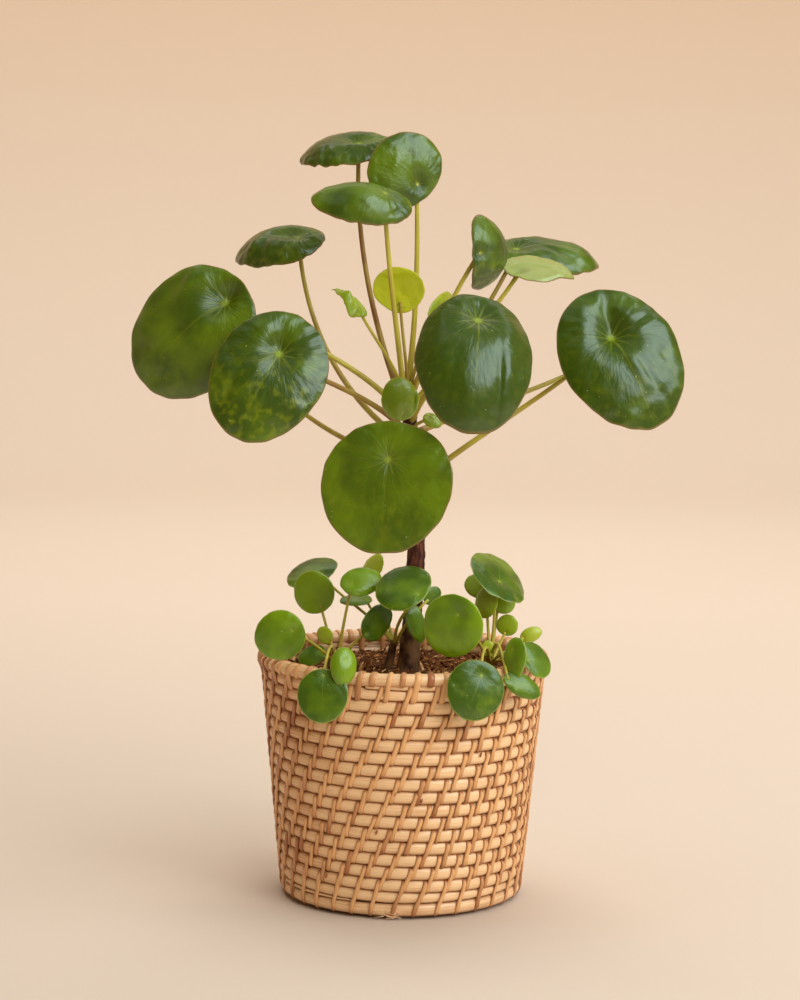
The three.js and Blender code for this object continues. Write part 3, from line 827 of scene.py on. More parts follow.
@dataclass(frozen=True)
class Leaf:
    """One leaf: a round shield on a stalk that meets it off its middle.

    Attributes:
        name: Name of the leaf.
        at: Where the stalk meets the blade.
        a: Half length of the blade.
        b: Half width of the blade.
        e: How far the stalk's point is off the blade's middle.
        az: Way that the upper face looks; 0 is towards the viewer.
        el: How far the upper face looks up; 90 is straight up.
        roll: Turn of the long way from straight downhill.
        cup: How far the edges bend back.
        fold: How far the two sides bend back.
        curl: How far one side rolls forward over the blade.
        dimple: Depth of the hollow round the stalk's point.
        valley: Depth of the groove from there to the nearest edge.
        root: Height on the trunk that the stalk leaves from.
        side: Way that it leaves the trunk, 0 towards +X; None is towards the blade.
        lift: How steeply the stalk starts.
        arrive: How squarely the stalk meets the blade.
        bow: Sag of the stalk.
        tone: Lighter or darker green.
        mottle: Strength of the yellowish spots.
        stalk: Tone of the stalk: 0 green, 1 brown.
        age: How old the leaf is.
        pucker: Strength of the fine ripples.
        tip: Place of a drawn-out tip round the edge, its length and its width in degrees.
        dents: Hollows, or bumps where the depth is negative: place along and across,
            length, width, turn in degrees and depth, as shares of the half length.
    """

    name: str
    at: Point
    a: float
    b: float
    e: float
    az: float
    el: float
    roll: float
    cup: float = 0.2
    fold: float = 0.0
    curl: float = 0.0
    dimple: float = 0.08
    valley: float = 0.03
    root: float = 0.0
    side: float | None = None
    lift: float = 0.4
    arrive: float = 0.3
    bow: Point = (0.0, 0.0, 0.0)
    tone: float = 0.0
    mottle: float = 0.2
    stalk: float = 0.3
    age: Age = Age.MATURE
    pucker: float = 1.0
    tip: tuple[float, float, float] = (0.0, 0.0, 1.0)
    dents: tuple[tuple[float, float, float, float, float, float], ...] = ()

    @property
    def seed(self) -> int:
        """A number of the leaf's own, from its place and size."""
        return int(abs(self.at[0] * 31 + self.at[1] * 17 + self.at[2] * 7 + self.a * 13)) % 9973

    def frame(self) -> tuple[np.ndarray, np.ndarray, np.ndarray]:
        """The blade's own directions.

        Returns:
            The ways out of the upper face, along the blade and across it.
        """
        az, el, roll = (math.radians(v) for v in (self.az, self.el, self.roll))
        out = np.array(
            [math.sin(az) * math.cos(el), -math.cos(az) * math.cos(el), math.sin(el)]
        )
        downhill = np.array([0.0, 0.0, -1.0]) + out * out[2]
        downhill /= np.linalg.norm(downhill)
        level = np.cross(downhill, out)
        along = downhill * math.cos(roll) + level * math.sin(roll)
        return out, along, np.cross(along, out)

    def height(self, x: np.ndarray, y: np.ndarray) -> np.ndarray:
        """Height of the blade over its own plane.

        The edges bend back with the 2.6th power of the reach, a dimple sits round the
        stalk's point, a groove runs from it to the nearest edge, three slow waves run
        round the blade, and small ripples and radial puckers lie over it all. Each dent
        is a bell-shaped hollow, depth exp(-p^2 - q^2), with p and q along and across it.

        Args:
            x: Place along the blade, from its middle.
            y: Place across it.

        Returns:
            The height at each place.
        """
        reach = (x / self.a) ** 2 + (y / self.b) ** 2
        held = (self.e / self.a) ** 2
        away = ((x + self.e) ** 2 + y**2) / (0.28 * self.a) ** 2
        turn = np.arctan2(y / self.b, x / self.a)
        spin = np.arctan2(y, x + self.e)
        edge = smooth(0.25, 1.0, np.sqrt(reach))
        behind = np.clip(-(x + self.e) / (self.a - self.e + 1e-6), 0.0, 1.0)
        groove = np.exp(-((y / (0.2 * self.b)) ** 2)) * behind * (1.3 - behind)
        roll_in = np.clip(y / self.b - 0.35, 0.0, 1.0) ** 2
        puckers = np.sin(spin * 17.0 + 2.0 * ripples(spin, reach, self.seed, 1.5))
        fine = self.pucker * self.a * edge
        rise = (
            -self.cup * self.a * (reach**1.3 - held**1.3)
            + self.dimple * self.a * (1.0 - np.exp(-away))
            - self.fold * self.b * (y / self.b) ** 2
            + self.curl * self.b * roll_in
            - self.valley * self.a * groove
            + 0.02 * self.a * reach * np.sin(3.0 * turn)
            + 0.012 * self.a * edge * ripples(x, y, self.seed + 1, 0.62 * self.a)
            + 0.0045 * fine * ripples(x, y, self.seed + 2, 0.24 * self.a)
            + 0.0025 * fine * puckers
        )
        for u, v, long, wide, way, depth in self.dents:
            cos, sin = math.cos(math.radians(way)), math.sin(math.radians(way))
            off_x, off_y = x - u * self.a, y - v * self.b
            p, q = off_x * cos + off_y * sin, off_y * cos - off_x * sin
            rise = rise - depth * self.a * np.exp(
                -((p / (long * self.a)) ** 2) - (q / (wide * self.a)) ** 2
            )
        return rise

    def surface(self, x: np.ndarray, y: np.ndarray, side: np.ndarray) -> np.ndarray:
        """Points of the blade in space.

        Args:
            x: Place along the blade, from its middle.
            y: Place across it.
            side: Distance over the middle of its thickness.

        Returns:
            The points.
        """
        out, along, across = self.frame()
        step = 0.01 * self.a
        w = self.height(x, y)
        slope_x = (self.height(x + step, y) - self.height(x - step, y)) / (2.0 * step)
        slope_y = (self.height(x, y + step) - self.height(x, y - step)) / (2.0 * step)
        up = out - slope_x[..., None] * along - slope_y[..., None] * across
        up /= np.linalg.norm(up, axis=-1, keepdims=True)
        return (
            np.array(self.at)
            + (x + self.e)[..., None] * along
            + y[..., None] * across
            + w[..., None] * out
            + side[..., None] * up
        )

    def blade(self, shape: Shape, part: Section) -> None:
        """Adds the blade: rings from the stalk's point out to a rounded edge and back.

        Ring k of the upper face lies at the share reach of the way from the stalk's
        point to the outline x = a cos p, y = b sin p (1 - 0.06 cos p), which two
        rows of small waves and a drawn-out tip make less even.

        Args:
            shape: Takes the blade.
            part: Its thickness and how finely it is divided.
        """
        p = np.arange(part.sectors) / part.sectors * TAU
        out = np.linspace(0.0, 1.0, part.rings + 1)[1:] ** 0.92
        reach = np.concatenate([out, [1.0], out[::-1]])
        thin = 0.5 * part.thick * (1.0 - 0.45 * smooth(0.9, 1.0, out))
        side = np.concatenate([thin, [0.0], -thin[::-1]])
        notch = 1.0 - 0.006 * (1.0 + ripples(np.cos(p) * 3, np.sin(p) * 3, self.seed, 1.9))
        notch -= 0.004 * (1.0 + np.sin(13.0 * p + 3.0 * np.sin(2.0 * p + self.seed)))
        place, length, width = self.tip
        off = np.angle(np.exp(1j * (p - math.radians(place))))
        notch += length * np.exp(-np.abs(off / math.radians(width)) ** 1.3)
        rim_x = self.a * np.cos(p) * notch
        rim_y = self.b * np.sin(p) * (1.0 - 0.06 * np.cos(p)) * notch
        x = -self.e + reach[:, None] * (rim_x + self.e)[None]
        y = reach[:, None] * rim_y[None]
        bulge = np.where(side == 0.0, 0.45 * part.thick / self.a, 0.0)[:, None]
        x, y = x + rim_x * bulge, y + rim_y * bulge
        loops = self.surface(x, y, np.broadcast_to(side[:, None], x.shape))
        middle = np.array([-self.e]), np.array([0.0])
        half = np.array([0.5 * part.thick])
        ends = (self.surface(*middle, half)[0], self.surface(*middle, -half)[0])
        plane = np.stack([(x + self.e) / self.a, y / self.a], -1) * 0.25 + 0.5
        under = np.broadcast_to((side < 0.0)[:, None] * 1.0, x.shape)
        spots = self.mottle * smooth(-0.5, 0.9, (self.at[2] - loops[..., 2]) / self.a)
        shape.add_stack(
            loops,
            0,
            plane,
            ends,
            tone=self.tone,
            seed=float(self.seed % 97),
            reach=np.broadcast_to(reach[:, None], x.shape),
            under=under,
            mottle=spots,
        )

    def stem(self, shape: Shape, part: Section, root: np.ndarray) -> None:
        """Adds the stalk: a round stick along a cubic curve from the trunk to the blade.

        Args:
            shape: Takes the stalk.
            part: Its thickness and how finely it is divided.
            root: Where it starts.
        """
        out, _, _ = self.frame()
        under = np.array([-0.3 * part.thick])
        end = self.surface(np.array([-self.e]), np.array([0.0]), under)[0]
        chord = end - root
        length = np.linalg.norm(chord)
        chord /= length
        leaves = chord + np.array([0.0, 0.0, self.lift])
        leaves /= np.linalg.norm(leaves)
        arrives = (1.0 - self.arrive) * chord + self.arrive * out
        arrives /= np.linalg.norm(arrives)
        early = root + 0.35 * length * leaves + self.bow
        late = end - 0.3 * length * arrives + self.bow
        knots = np.array([root, early, late, end])
        t = np.linspace(0.0, 1.0, part.steps + 1)
        weights = np.stack([(1 - t) ** 3, 3 * (1 - t) ** 2 * t, 3 * (1 - t) * t**2, t**3], -1)
        swell = 1.0 + 0.22 * np.exp(-t * 14.0) + 0.25 * np.exp(-(1.0 - t) * 22.0)
        radius = (part.root + (part.tip - part.root) * t) * swell
        tone = self.stalk + 0.2 * (1.0 - t) ** 3 - 0.1
        add_stick(shape, weights @ knots, radius, 10, 1, reach=t, tone=tone)


def add_stick(
    shape: Shape,
    path: np.ndarray,
    radius: np.ndarray,
    sides: int,
    slot: int = 0,
    **values: np.ndarray,
) -> None:
    """Adds a round stick: circles square to a path, each turned as little as it can be.

    Args:
        shape: Takes the stick.
        path: Points along its middle.
        radius: Its radius at each.
        sides: How many points a circle has.
        slot: Which of the piece's finishes it takes.
        values: A value for each point of the path, by channel.
    """
    way = np.gradient(path, axis=0)
    way /= np.linalg.norm(way, axis=1, keepdims=True)
    first = np.cross(way, [0.0, 1.0, 0.0] if abs(way[0, 1]) < 0.9 else [1.0, 0.0, 0.0])
    first /= np.linalg.norm(first, axis=1, keepdims=True)
    other = np.cross(way, first)
    angle = np.arange(sides) / sides * TAU
    cos, sin = np.cos(angle)[None, :, None], np.sin(angle)[None, :, None]
    ring = cos * first[:, None] + sin * other[:, None]
    loops = path[:, None] + radius[:, None, None] * ring
    spread = {k: np.repeat(v[:, None], sides, axis=1) for k, v in values.items()}
    shape.add_stack(loops, slot, **spread)


LEAF_CHANNELS = ("tone", "seed", "reach", "under", "mottle")

CROWN_LEAVES = (
    Leaf("far_left", (-111, -35, 369), 43.5, 39, 27, -23, 13, 44, 0.2, root=298, side=-170,
         lift=0.55, arrive=0.45, dimple=0.12, valley=0.09, tone=0.2, mottle=0.3, stalk=0.2,
         dents=((-0.62, 0.03, 0.24, 0.2, 0, 0.09), (-0.82, 0.3, 0.3, 0.16, 135, 0.05),
                (-0.42, 0.55, 0.34, 0.12, 155, -0.05), (0.3, 0.14, 0.5, 0.06, 4, 0.014))),
    Leaf("left_mid", (-75, -72, 340), 42, 33.5, 15.5, 0, 22, 26, 0.15, root=288,
         lift=0.35, arrive=0.45, bow=(0, 4, 0), dimple=0.1, tone=-0.2, mottle=1.0, stalk=0.8,
         dents=((-0.4, 0.03, 0.17, 0.15, 0, 0.05), (-0.55, 0.12, 0.16, 0.1, 20, 0.03),
                (-0.1, 0.2, 0.32, 0.1, 28, -0.03), (-0.62, 0.42, 0.18, 0.14, 0, -0.03),
                (0.45, 0.5, 0.45, 0.06, 4, 0.03), (0.4, 0.24, 0.4, 0.07, 8, -0.012))),
    Leaf("upper_left", (-69, 32, 409), 31, 23.5, 15.5, -41, 61, 74, 0.39, root=281,
         lift=-0.3, bow=(-16, 0, -6), tone=-0.1, mottle=1.0, stalk=0.55, pucker=1.6,
         dents=((-0.22, 0.05, 0.34, 0.22, 0, 0.13), (0.1, -0.6, 0.4, 0.1, 105, 0.05),
                (0.4, -0.5, 0.3, 0.1, 110, -0.04), (-0.5, -0.6, 0.25, 0.1, 80, 0.03))),
    Leaf("right_mid", (42, -78, 362), 47, 34.5, 25, 8, 32, 8, 0.34, root=296,
         lift=0.25, arrive=0.45, valley=0.05, tone=-0.8, stalk=0.2,
         dents=((-0.66, -0.03, 0.24, 0.18, 0, 0.08), (0.35, -0.42, 0.5, 0.05, -3, 0.022),
                (0.3, -0.56, 0.5, 0.08, -2, -0.025), (0.2, 0.35, 0.5, 0.08, 3, 0.012),
                (-0.2, -0.62, 0.16, 0.06, 30, 0.015))),
    Leaf("far_right", (125, -20, 350), 48, 37.5, 15, 8, 26, -20, 0.2, root=258,
         lift=0.1, arrive=0.45, bow=(0, 0, -2), dimple=0.15, valley=0.06, tone=-0.5,
         mottle=0.4, stalk=0.35, pucker=1.6,
         dents=((-0.33, -0.03, 0.18, 0.14, 0, 0.05), (-0.6, -0.12, 0.34, 0.13, 16, 0.08),
                (-0.38, -0.45, 0.34, 0.05, 79, 0.02), (-0.26, -0.45, 0.34, 0.05, 74, -0.02),
                (0.1, -0.07, 0.42, 0.08, -8, -0.03), (0.55, -0.3, 0.35, 0.06, -12, 0.02))),
    Leaf("front_low", (-10, -92, 280), 39.5, 40, 16.5, -16, 17, -1, 0.06, root=266,
         lift=0.25, arrive=0.45, dimple=0.05, valley=0.0, tone=0.45, mottle=0.45, stalk=0.2,
         dents=((-0.42, 0.0, 0.1, 0.1, 0, 0.02), (0.15, 0.0, 0.5, 0.04, 0, 0.01))),
    Leaf("top_left", (-31, 22, 468), 30.5, 26, 10.5, -36, 68, 79, 0.33, root=302,
         lift=0, bow=(-13, 0, 0), tone=-0.2, mottle=0.1, stalk=0.85, pucker=2.2,
         dents=((-0.34, 0.0, 0.26, 0.2, 0, 0.08), (0.15, -0.75, 0.2, 0.07, 70, 0.03),
                (-0.25, -0.75, 0.2, 0.07, 95, 0.03), (0.5, -0.6, 0.2, 0.07, 55, 0.03))),
    Leaf("top_mid", (-14.2, -38, 433), 30.5, 20, 13, 14, 58, 95, 0.3, 0.15, root=298,
         side=-141, lift=0.1, bow=(0, -3, 0), stalk=0.15,
         pucker=1.4, dents=((-0.1, -0.1, 0.5, 0.5, 0, -0.1), (-0.62, -0.55, 0.22, 0.04, 140, 0.03),
                            (-0.6, -0.6, 0.16, 0.04, 60, 0.025), (0.5, -0.3, 0.3, 0.1, 30, 0.025))),
    Leaf("top_right", (6, -2, 442), 21.5, 25.5, 11.5, 17, 9, 136, 0.2, root=318,
         side=66, lift=0.25, arrive=0.12, bow=(4, 0, 0), tone=0.1, mottle=0.3, stalk=0.1,
         dents=((-0.5, 0.05, 0.34, 0.26, 0, 0.14), (0.3, -0.1, 0.3, 0.14, 60, -0.05),
                (0.15, 0.3, 0.3, 0.1, 50, 0.03))),
    Leaf("right_fold", (45.4, -15, 400), 16, 22.5, 9.5, 48, 0, -90, 0.22, 0.38, root=308,
         side=-70, lift=0.2, arrive=0.2, tone=-0.1, mottle=1.0, stalk=0.35,
         dents=((-0.7, 0.0, 0.3, 0.3, 0, 0.1), (-0.2, 0.45, 0.4, 0.16, 40, -0.05))),
    Leaf("back_right", (70, 58, 403), 38, 24, 19, 35, 64, -72, 0.25, root=300,
         lift=0, arrive=0.2, bow=(4, 0, 0), tone=-0.1, mottle=0.1, stalk=0.6, pucker=1.6,
         dents=((0.65, -0.1, 0.4, 0.5, 0, -0.1), (-0.5, 0.0, 0.22, 0.2, 0, 0.06),
                (0.15, 0.3, 0.4, 0.07, 30, 0.03), (0.3, 0.0, 0.4, 0.07, 20, 0.02))),
    Leaf("pale_right", (68, 4, 388), 20, 19, 13, 12, 67, -112, 0.1, root=305, side=-5,
         lift=0, arrive=0.2, tone=1.2, mottle=0.3, stalk=0.0, tip=(52, 0.34, 17),
         dents=((-0.6, 0.0, 0.25, 0.2, 0, 0.1), (0.2, 0.9, 0.5, 0.14, 10, -0.12),
                (0.1, 0.2, 0.4, 0.12, 40, 0.05))),
    Leaf("hidden_left", (-87, 32, 321), 26, 24, 8, -35, 35, 40, 0.2, root=268,
         lift=0, arrive=0.45, bow=(-6, 6, -8), tone=-0.2, mottle=0.4, stalk=0.6),
    Leaf("hidden_right", (132, 60, 338), 28, 25, 9, 40, 40, -40, 0.2, root=288,
         lift=0, arrive=0.45, bow=(0, 4, 0), tone=-0.2, mottle=0.3, stalk=0.4),
    Leaf("young_tiny", (14, -6, 298), 6, 4.5, 3, 15, 25, -60, 0.2, root=292,
         lift=0.2, arrive=0.2, age=Age.YOUNG),
    Leaf("young_back", (-4, -8, 369), 14, 15.4, 10.5, 173, 27, 183, 0.15, root=318, side=-77,
         lift=0.25, arrive=0.2, tone=0.35, mottle=1.0, stalk=0.6, age=Age.YOUNG, tip=(180, 0.22, 40),
         dents=((-0.35, -0.05, 0.28, 0.22, 0, -0.08), (0.7, 0.2, 0.2, 0.5, 0, 0.1))),
    Leaf("young_curl", (-29, -14, 368), 12.5, 6.5, 4.5, 62, 52, 178, 0.3, 0.3, 0.8, root=311,
         side=-154, lift=0.25, arrive=0.2, bow=(3, 0, 0), tone=-0.3, mottle=0.8, stalk=0.1,
         age=Age.YOUNG, tip=(10, 0.3, 16), pucker=3.0,
         dents=((0.0, 0.0, 0.8, 0.2, 15, 0.2), (0.35, -0.5, 0.25, 0.3, 0, -0.2),
                (-0.5, -0.8, 0.3, 0.3, 0, 0.3))),
    Leaf("young_front", (-2, -30, 303), 13, 11.5, 8.5, 15, 6, 173, 0.3, root=300,
         lift=0.25, arrive=0.45, tone=-0.5, mottle=0.4, age=Age.YOUNG,
         dents=((-0.1, 0.75, 0.5, 0.12, 15, 0.1), (0.0, 1.0, 0.5, 0.14, 15, -0.14),
                (-0.1, -0.1, 0.4, 0.4, 0, -0.06))),
    Leaf("young_narrow", (17, 0, 361), 15, 8.5, 9.5, 59, -3, 243, 0.18, root=315, side=-37,
         lift=0.25, arrive=0.2, tone=0.3, age=Age.YOUNG),
)


def pup(
    at: Point, a: float, b: float, e: float, az: float, el: float, roll: float,
    cup: float = 0.1, bow: Point = (0.0, 0.0, 0.0), tone: float = 0.0, mottle: float = 0.2,
) -> Leaf:
    """A leaf of one of the young shoots at the foot."""
    return Leaf("pup", at, a, b, e, az, el, roll, cup, bow=bow, tone=tone, mottle=mottle,
                stalk=0.15, valley=0.0, dimple=0.06, age=Age.SHOOT)


@dataclass(frozen=True)
class Stub:
    """A short stem in the soil and the leaves that stand on it.

    Attributes:
        name: Name of the shoot.
        levels: Middle, height and radius of the stem, from the foot up.
        leaves: Its leaves.
    """

    name: str
    levels: tuple[tuple[float, float, float, float], ...]
    leaves: tuple[Leaf, ...]


SHOOTS = (
    Stub(
        "shoot_left",
        ((-42, -12, 104, 2.2), (-42, -12, 130, 3.8), (-42, -12, 141, 3.8), (-42, -12, 147, 2.4)),
        (
            pup((-67.5, -48, 171.5), 15.5, 15, 8, -5, 7, 67, tone=0.5),
            # This leaf's tone is raised to lighten it where it sits in shade: painted light.
            pup((-52, 2, 179.5), 13.5, 12.5, 9.5, -9, 7, 153, tone=1.0, mottle=0.5),
            pup((-32, -14, 196), 13.5, 9.5, 6.5, 14, 35, -104, 0.15, tone=0.6),
            pup((-45, -18, 160), 5.5, 5, 5.5, -24, 2, 136, tone=1.3),
            pup((-51.5, -12, 153), 9, 6.5, 5.5, -4, 35, 59),
            pup((-23, -22, 166), 13, 10, 10.5, 39, 2, -127, 0.08, tone=-0.25),
            pup((-34, -88, 160.5), 11.5, 8, 3.5, 21, 17, 13, 0.31, (0, 0, 6), 0.5),
            pup((-47, -88, 151), 16, 15, 12, -5, 17, 0, 0.1, (0, 0, 14), -0.5),
        ),
    ),
    Stub(
        "shoot_centre",
        ((-10, -2, 104, 2), (-10, -2, 130, 3), (-9.5, -2, 142, 3), (-5.5, -3, 159, 2.2)),
        (
            pup((-50.5, 22, 195), 15.5, 17.5, 11.5, -33, 62, 104, tone=-0.2),
            pup((-23.5, 12, 182.5), 10, 7, 6.5, 0, 68, 79),
            pup((-22.5, 26, 195), 9.5, 10, 6.5, -55, 29, 184, tone=1.3),
            pup((9, -34, 192.5), 16.5, 18.5, 12, -14, 49, 115, 0.14, (-5, -5, 0), -0.2, 0.5),
            pup((4, -24, 183.5), 13, 6, 10.5, 23, 6, -17, 0.09, (-3, -7, 0), -0.1),
            pup((15, -15, 186.5), 6.5, 5, 4, 27, 8, -126, 0.1, (-2, -12, 0), 0.2),
        ),
    ),
    Stub(
        "shoot_right",
        ((54, -10, 104, 2.2), (54, -10, 130, 4), (54, -10, 141, 4), (54, -10, 147, 2.6)),
        (
            pup((32.5, -58, 183.5), 19, 19, 7.5, -21, 3, 25, 0.08, tone=0.45),
            pup((59, -8, 197), 24, 20, 6.5, 55, 51, -136, 0.11, tone=-0.2),
            pup((51.5, 12, 188), 9.5, 8.5, 6.5, -6, 42, 132, tone=1.2),
            pup((54.5, -14, 191.5), 10, 9, 8.5, -46, 4, 32, 0.15, tone=1.2, mottle=0.6),
            pup((60.5, 8, 184.5), 7, 7.5, 3.5, 13, 18, -41, tone=1.1),
            pup((63.5, 0, 164.5), 6.5, 6.5, 4.5, -8, 0, 196, 0.15, tone=1.15),
            pup((75, 5, 160), 7, 4.5, 5.5, 2, 16, -114, 0.2, tone=1.35),
            pup((65.5, -68, 164.5), 12.5, 9, 5, -45, 11, -7, 0.25, tone=0.5),
            pup((75, -58, 156.5), 11, 12, 7, 44, 34, -86),
            pup((62.5, -75, 148), 12.5, 7.5, 10, 29, 30, -59, 0.15, (0, 0, 20), -0.1),
            pup((46, -90, 152.5), 18, 17, 9.5, 10, 14, 24, 0.12, (0, 0, 13), -0.4, 0.5),
            pup((52.5, -20, 153), 5, 4, 4, 0, 5, 177, tone=1.4),
        ),
    ),
)


@dataclass
class Plant:
    """The trunk, its crown of leaves, the bracts at its tip and the shoots at its foot.

    Attributes:
        levels: Middle, height and radius of the trunk, from the foot up.
        scars: Height and angle of each leaf scar.
    """

    levels: tuple[tuple[float, float, float, float], ...] = (
        (1, -4, 70, 3.5), (1.5, -4, 110, 6), (2, -4, 134, 7.6), (3, -3.5, 143, 7.1),
        (4, -3, 152, 6.5), (6, -2, 180, 5.7), (7, -1, 200, 5.9), (7.5, 0, 216, 5.4),
        (7, 1, 234, 5.6), (6.5, 2, 250, 5.1), (4, 3, 280, 4.9), (2, 4, 300, 4.3),
        (1, 4, 313, 3.6), (0.5, 4, 321, 2.4),
    )
    scars: tuple[Pair, ...] = (
        (231.0, -80.0), (252.0, 60.0), (239.0, 175.0), (213.0, 20.0), (205.0, -150.0),
        (192.0, -60.0), (181.0, 110.0), (168.0, -20.0), (160.0, 200.0), (262.0, -30.0),
        (270.0, 130.0), (221.0, 95.0),
    )

    def middle(self, z: np.ndarray) -> tuple[np.ndarray, np.ndarray, np.ndarray]:
        """The trunk's centre and radius at a height, on straight lines between levels."""
        levels = np.array(self.levels, float)
        return tuple(np.interp(z, levels[:, 2], levels[:, i]) for i in (0, 1, 3))

    def trunk(self, bark: bpy.types.Material) -> None:
        """Bark in rings up the trunk.

        The radius has slow lumps, upright fissures, a ring at each old joint and a
        raised horseshoe at each leaf scar.

        Args:
            bark: Material of the trunk.
        """
        z = np.linspace(self.levels[0][2], self.levels[-1][2], 300)
        turn = np.arange(44) / 44 * TAU
        x0, y0, r0 = (v[:, None] for v in self.middle(z))
        high = z[:, None]
        round_x, round_y = 3.0 * np.cos(turn)[None], 3.0 * np.sin(turn)[None]
        grow = 0.16 * ripples(round_x + high * 0.02, round_y, 3, 2.4)
        grow = grow + 0.1 * ripples(round_x + high * 0.35, round_y + high * 0.1, 5, 1.6)
        mark = np.zeros((len(z), len(turn)))
        for level, way in self.scars:
            gap = np.angle(np.exp(1j * (turn - math.radians(way))))[None]
            far = np.hypot(gap * r0 / 3.0, (high - level) / 2.3)
            open_top = high < level + 1.6
            grow = grow + 0.5 * np.exp(-(((far - 1.0) / 0.3) ** 2)) * open_top
            mark = np.maximum(mark, 0.8 * np.exp(-(((far - 1.0) / 0.25) ** 2)) * open_top)
            grow = grow - 0.25 * np.exp(-((far / 0.7) ** 2))
        joints = np.array([level + 4.0 for level, _ in self.scars])
        grow = grow - 0.12 * np.exp(-(((high - joints[None]) / 0.8) ** 2)).sum(1, keepdims=True)
        foot = np.exp(-np.clip(high - 138.0, 0.0, None) / 5.0)
        grow = grow + foot * (0.5 + 0.7 * np.cos(3.0 * turn + 0.6)[None]) * (high > 120.0)
        dome = np.where(high > 319.0, np.sqrt(np.clip((321.6 - high) / 2.6, 0, 1)), 1)
        radius = (r0 + grow) * dome
        parts = x0 + radius * np.cos(turn), y0 + radius * np.sin(turn), high
        loops = np.stack(np.broadcast_arrays(*parts), -1)
        shape = Shape("trunk_bark", ("scar",))
        shape.add_stack(loops, scar=mark)
        shape.build([bark], ["trunk"])

    def bracts(self, papery: bpy.types.Material) -> None:
        """Papery scales round the trunk's tip, and the resting bud inside them.

        Each is a narrow pointed sheet, bent round the tip, that leans out at its top.

        Args:
            papery: Material of the scales and the bud.
        """
        rng = np.random.default_rng(11)
        shape = Shape("crown_bracts", ("tone",))
        for k in range(11):
            low = rng.uniform(296.0, 317.0)
            tall, wide = rng.uniform(8.0, 12.5), rng.uniform(1.5, 2.3)
            way = k * 2.4 + rng.uniform(-0.3, 0.3)
            x0, y0, r0 = (float(v) for v in self.middle(np.array(low)))
            up = np.linspace(0.0, 1.0, 9)
            width = wide * np.sqrt(np.clip(1.0 - up, 0.0, 1.0)) * (0.7 + 0.9 * up) + 0.08
            lean = r0 + 0.35 + 0.4 * up - 1.2 * up**2 * (low - 300.0) / 17.0 + 2.2 * up**3
            turn = np.arange(8) / 8 * TAU
            sideways = width[:, None] * np.cos(turn)
            outward = lean[:, None] + 0.3 * np.sin(turn) - 0.12 * sideways**2
            points = np.stack(
                [
                    x0 + outward * math.cos(way) - sideways * math.sin(way),
                    y0 + outward * math.sin(way) + sideways * math.cos(way),
                    np.broadcast_to(low + tall * up[:, None], sideways.shape),
                ],
                -1,
            )
            shape.add_stack(points, tone=rng.uniform(0.0, 1.0))
        tip = self.levels[-1]
        path = np.array([tip[:3]]) + np.linspace([-1.4, -0.2, 0.3], [-1.0, -0.2, 6.0], 7)
        radius = np.array([1.0, 1.2, 1.25, 1.1, 0.85, 0.5, 0.12])
        add_stick(shape, path, radius, 10, tone=np.full(7, 0.35))
        shape.build([papery], ["crown_bud"])

    def crown(self, finishes: dict[Age, bpy.types.Material], stalks: bpy.types.Material) -> None:
        """One piece for each leaf of the crown, on its stalk.

        Args:
            finishes: Material of the blades, by age.
            stalks: Material of the stalks.
        """
        for leaf in CROWN_LEAVES:
            part = SECTIONS[leaf.age]
            x0, y0, r0 = (float(v) for v in self.middle(np.array(leaf.root)))
            way = math.atan2(leaf.at[1] - y0, leaf.at[0] - x0)
            if leaf.side is not None:
                way = math.radians(leaf.side)
            inside = 0.6 * r0
            root = np.array([x0 + inside * math.cos(way), y0 + inside * math.sin(way), leaf.root])
            shape = Shape(leaf.name + "_leaf", LEAF_CHANNELS)
            leaf.blade(shape, part)
            leaf.stem(shape, part, root)
            shape.build([finishes[leaf.age], stalks], ["leaf_" + leaf.name])

    def shoots(
        self,
        finishes: dict[Age, bpy.types.Material],
        stalks: bpy.types.Material,
        bark: bpy.types.Material,
    ) -> None:
        """One piece for each young shoot: its stub and the leaves on it.

        Args:
            finishes: Material of the blades, by age.
            stalks: Material of the stalks.
            bark: Material of the stubs.
        """
        for stub in SHOOTS:
            levels = np.array(stub.levels, float)
            shape = Shape(stub.name + "_leaves", LEAF_CHANNELS)
            z = np.linspace(levels[0, 2], levels[-1, 2], 24)
            path = np.stack([np.interp(z, levels[:, 2], levels[:, i]) for i in (0, 1, 2)], -1)
            radius = np.interp(z, levels[:, 2], levels[:, 3])
            add_stick(shape, path, radius, 16, 2)
            for leaf in stub.leaves:
                way = np.array(leaf.at) - levels[-1, :3]
                way[2] = 0.0
                way /= np.linalg.norm(way)
                root = levels[-1, :3] + 0.5 * levels[-1, 3] * way - [0.0, 0.0, 2.0]
                leaf.blade(shape, SECTIONS[Age.SHOOT])
                leaf.stem(shape, SECTIONS[Age.SHOOT], root)
            shape.build([finishes[Age.SHOOT], stalks, bark], [stub.name])


@dataclass
class Lashings:
    """Strips that are laid together, with one number of each kind for a strip.

    Attributes:
        angle: Angle of its upper end.
        top: Height of its upper end.
        low: Height of its lower end.
        lean: How far it leans to the right as it climbs, in mm round the basket.
        wide: Its width.
        tone: Its tone.
        to_foot: Whether it goes down round the foot.
    """

    angle: np.ndarray
    top: np.ndarray
    low: np.ndarray
    lean: np.ndarray
    wide: np.ndarray
    tone: np.ndarray
    to_foot: np.ndarray

    def pick(self, which: np.ndarray) -> "Lashings":
        """Only some of the strips."""
        return Lashings(**{kind: values[which] for kind, values in vars(self).items()})


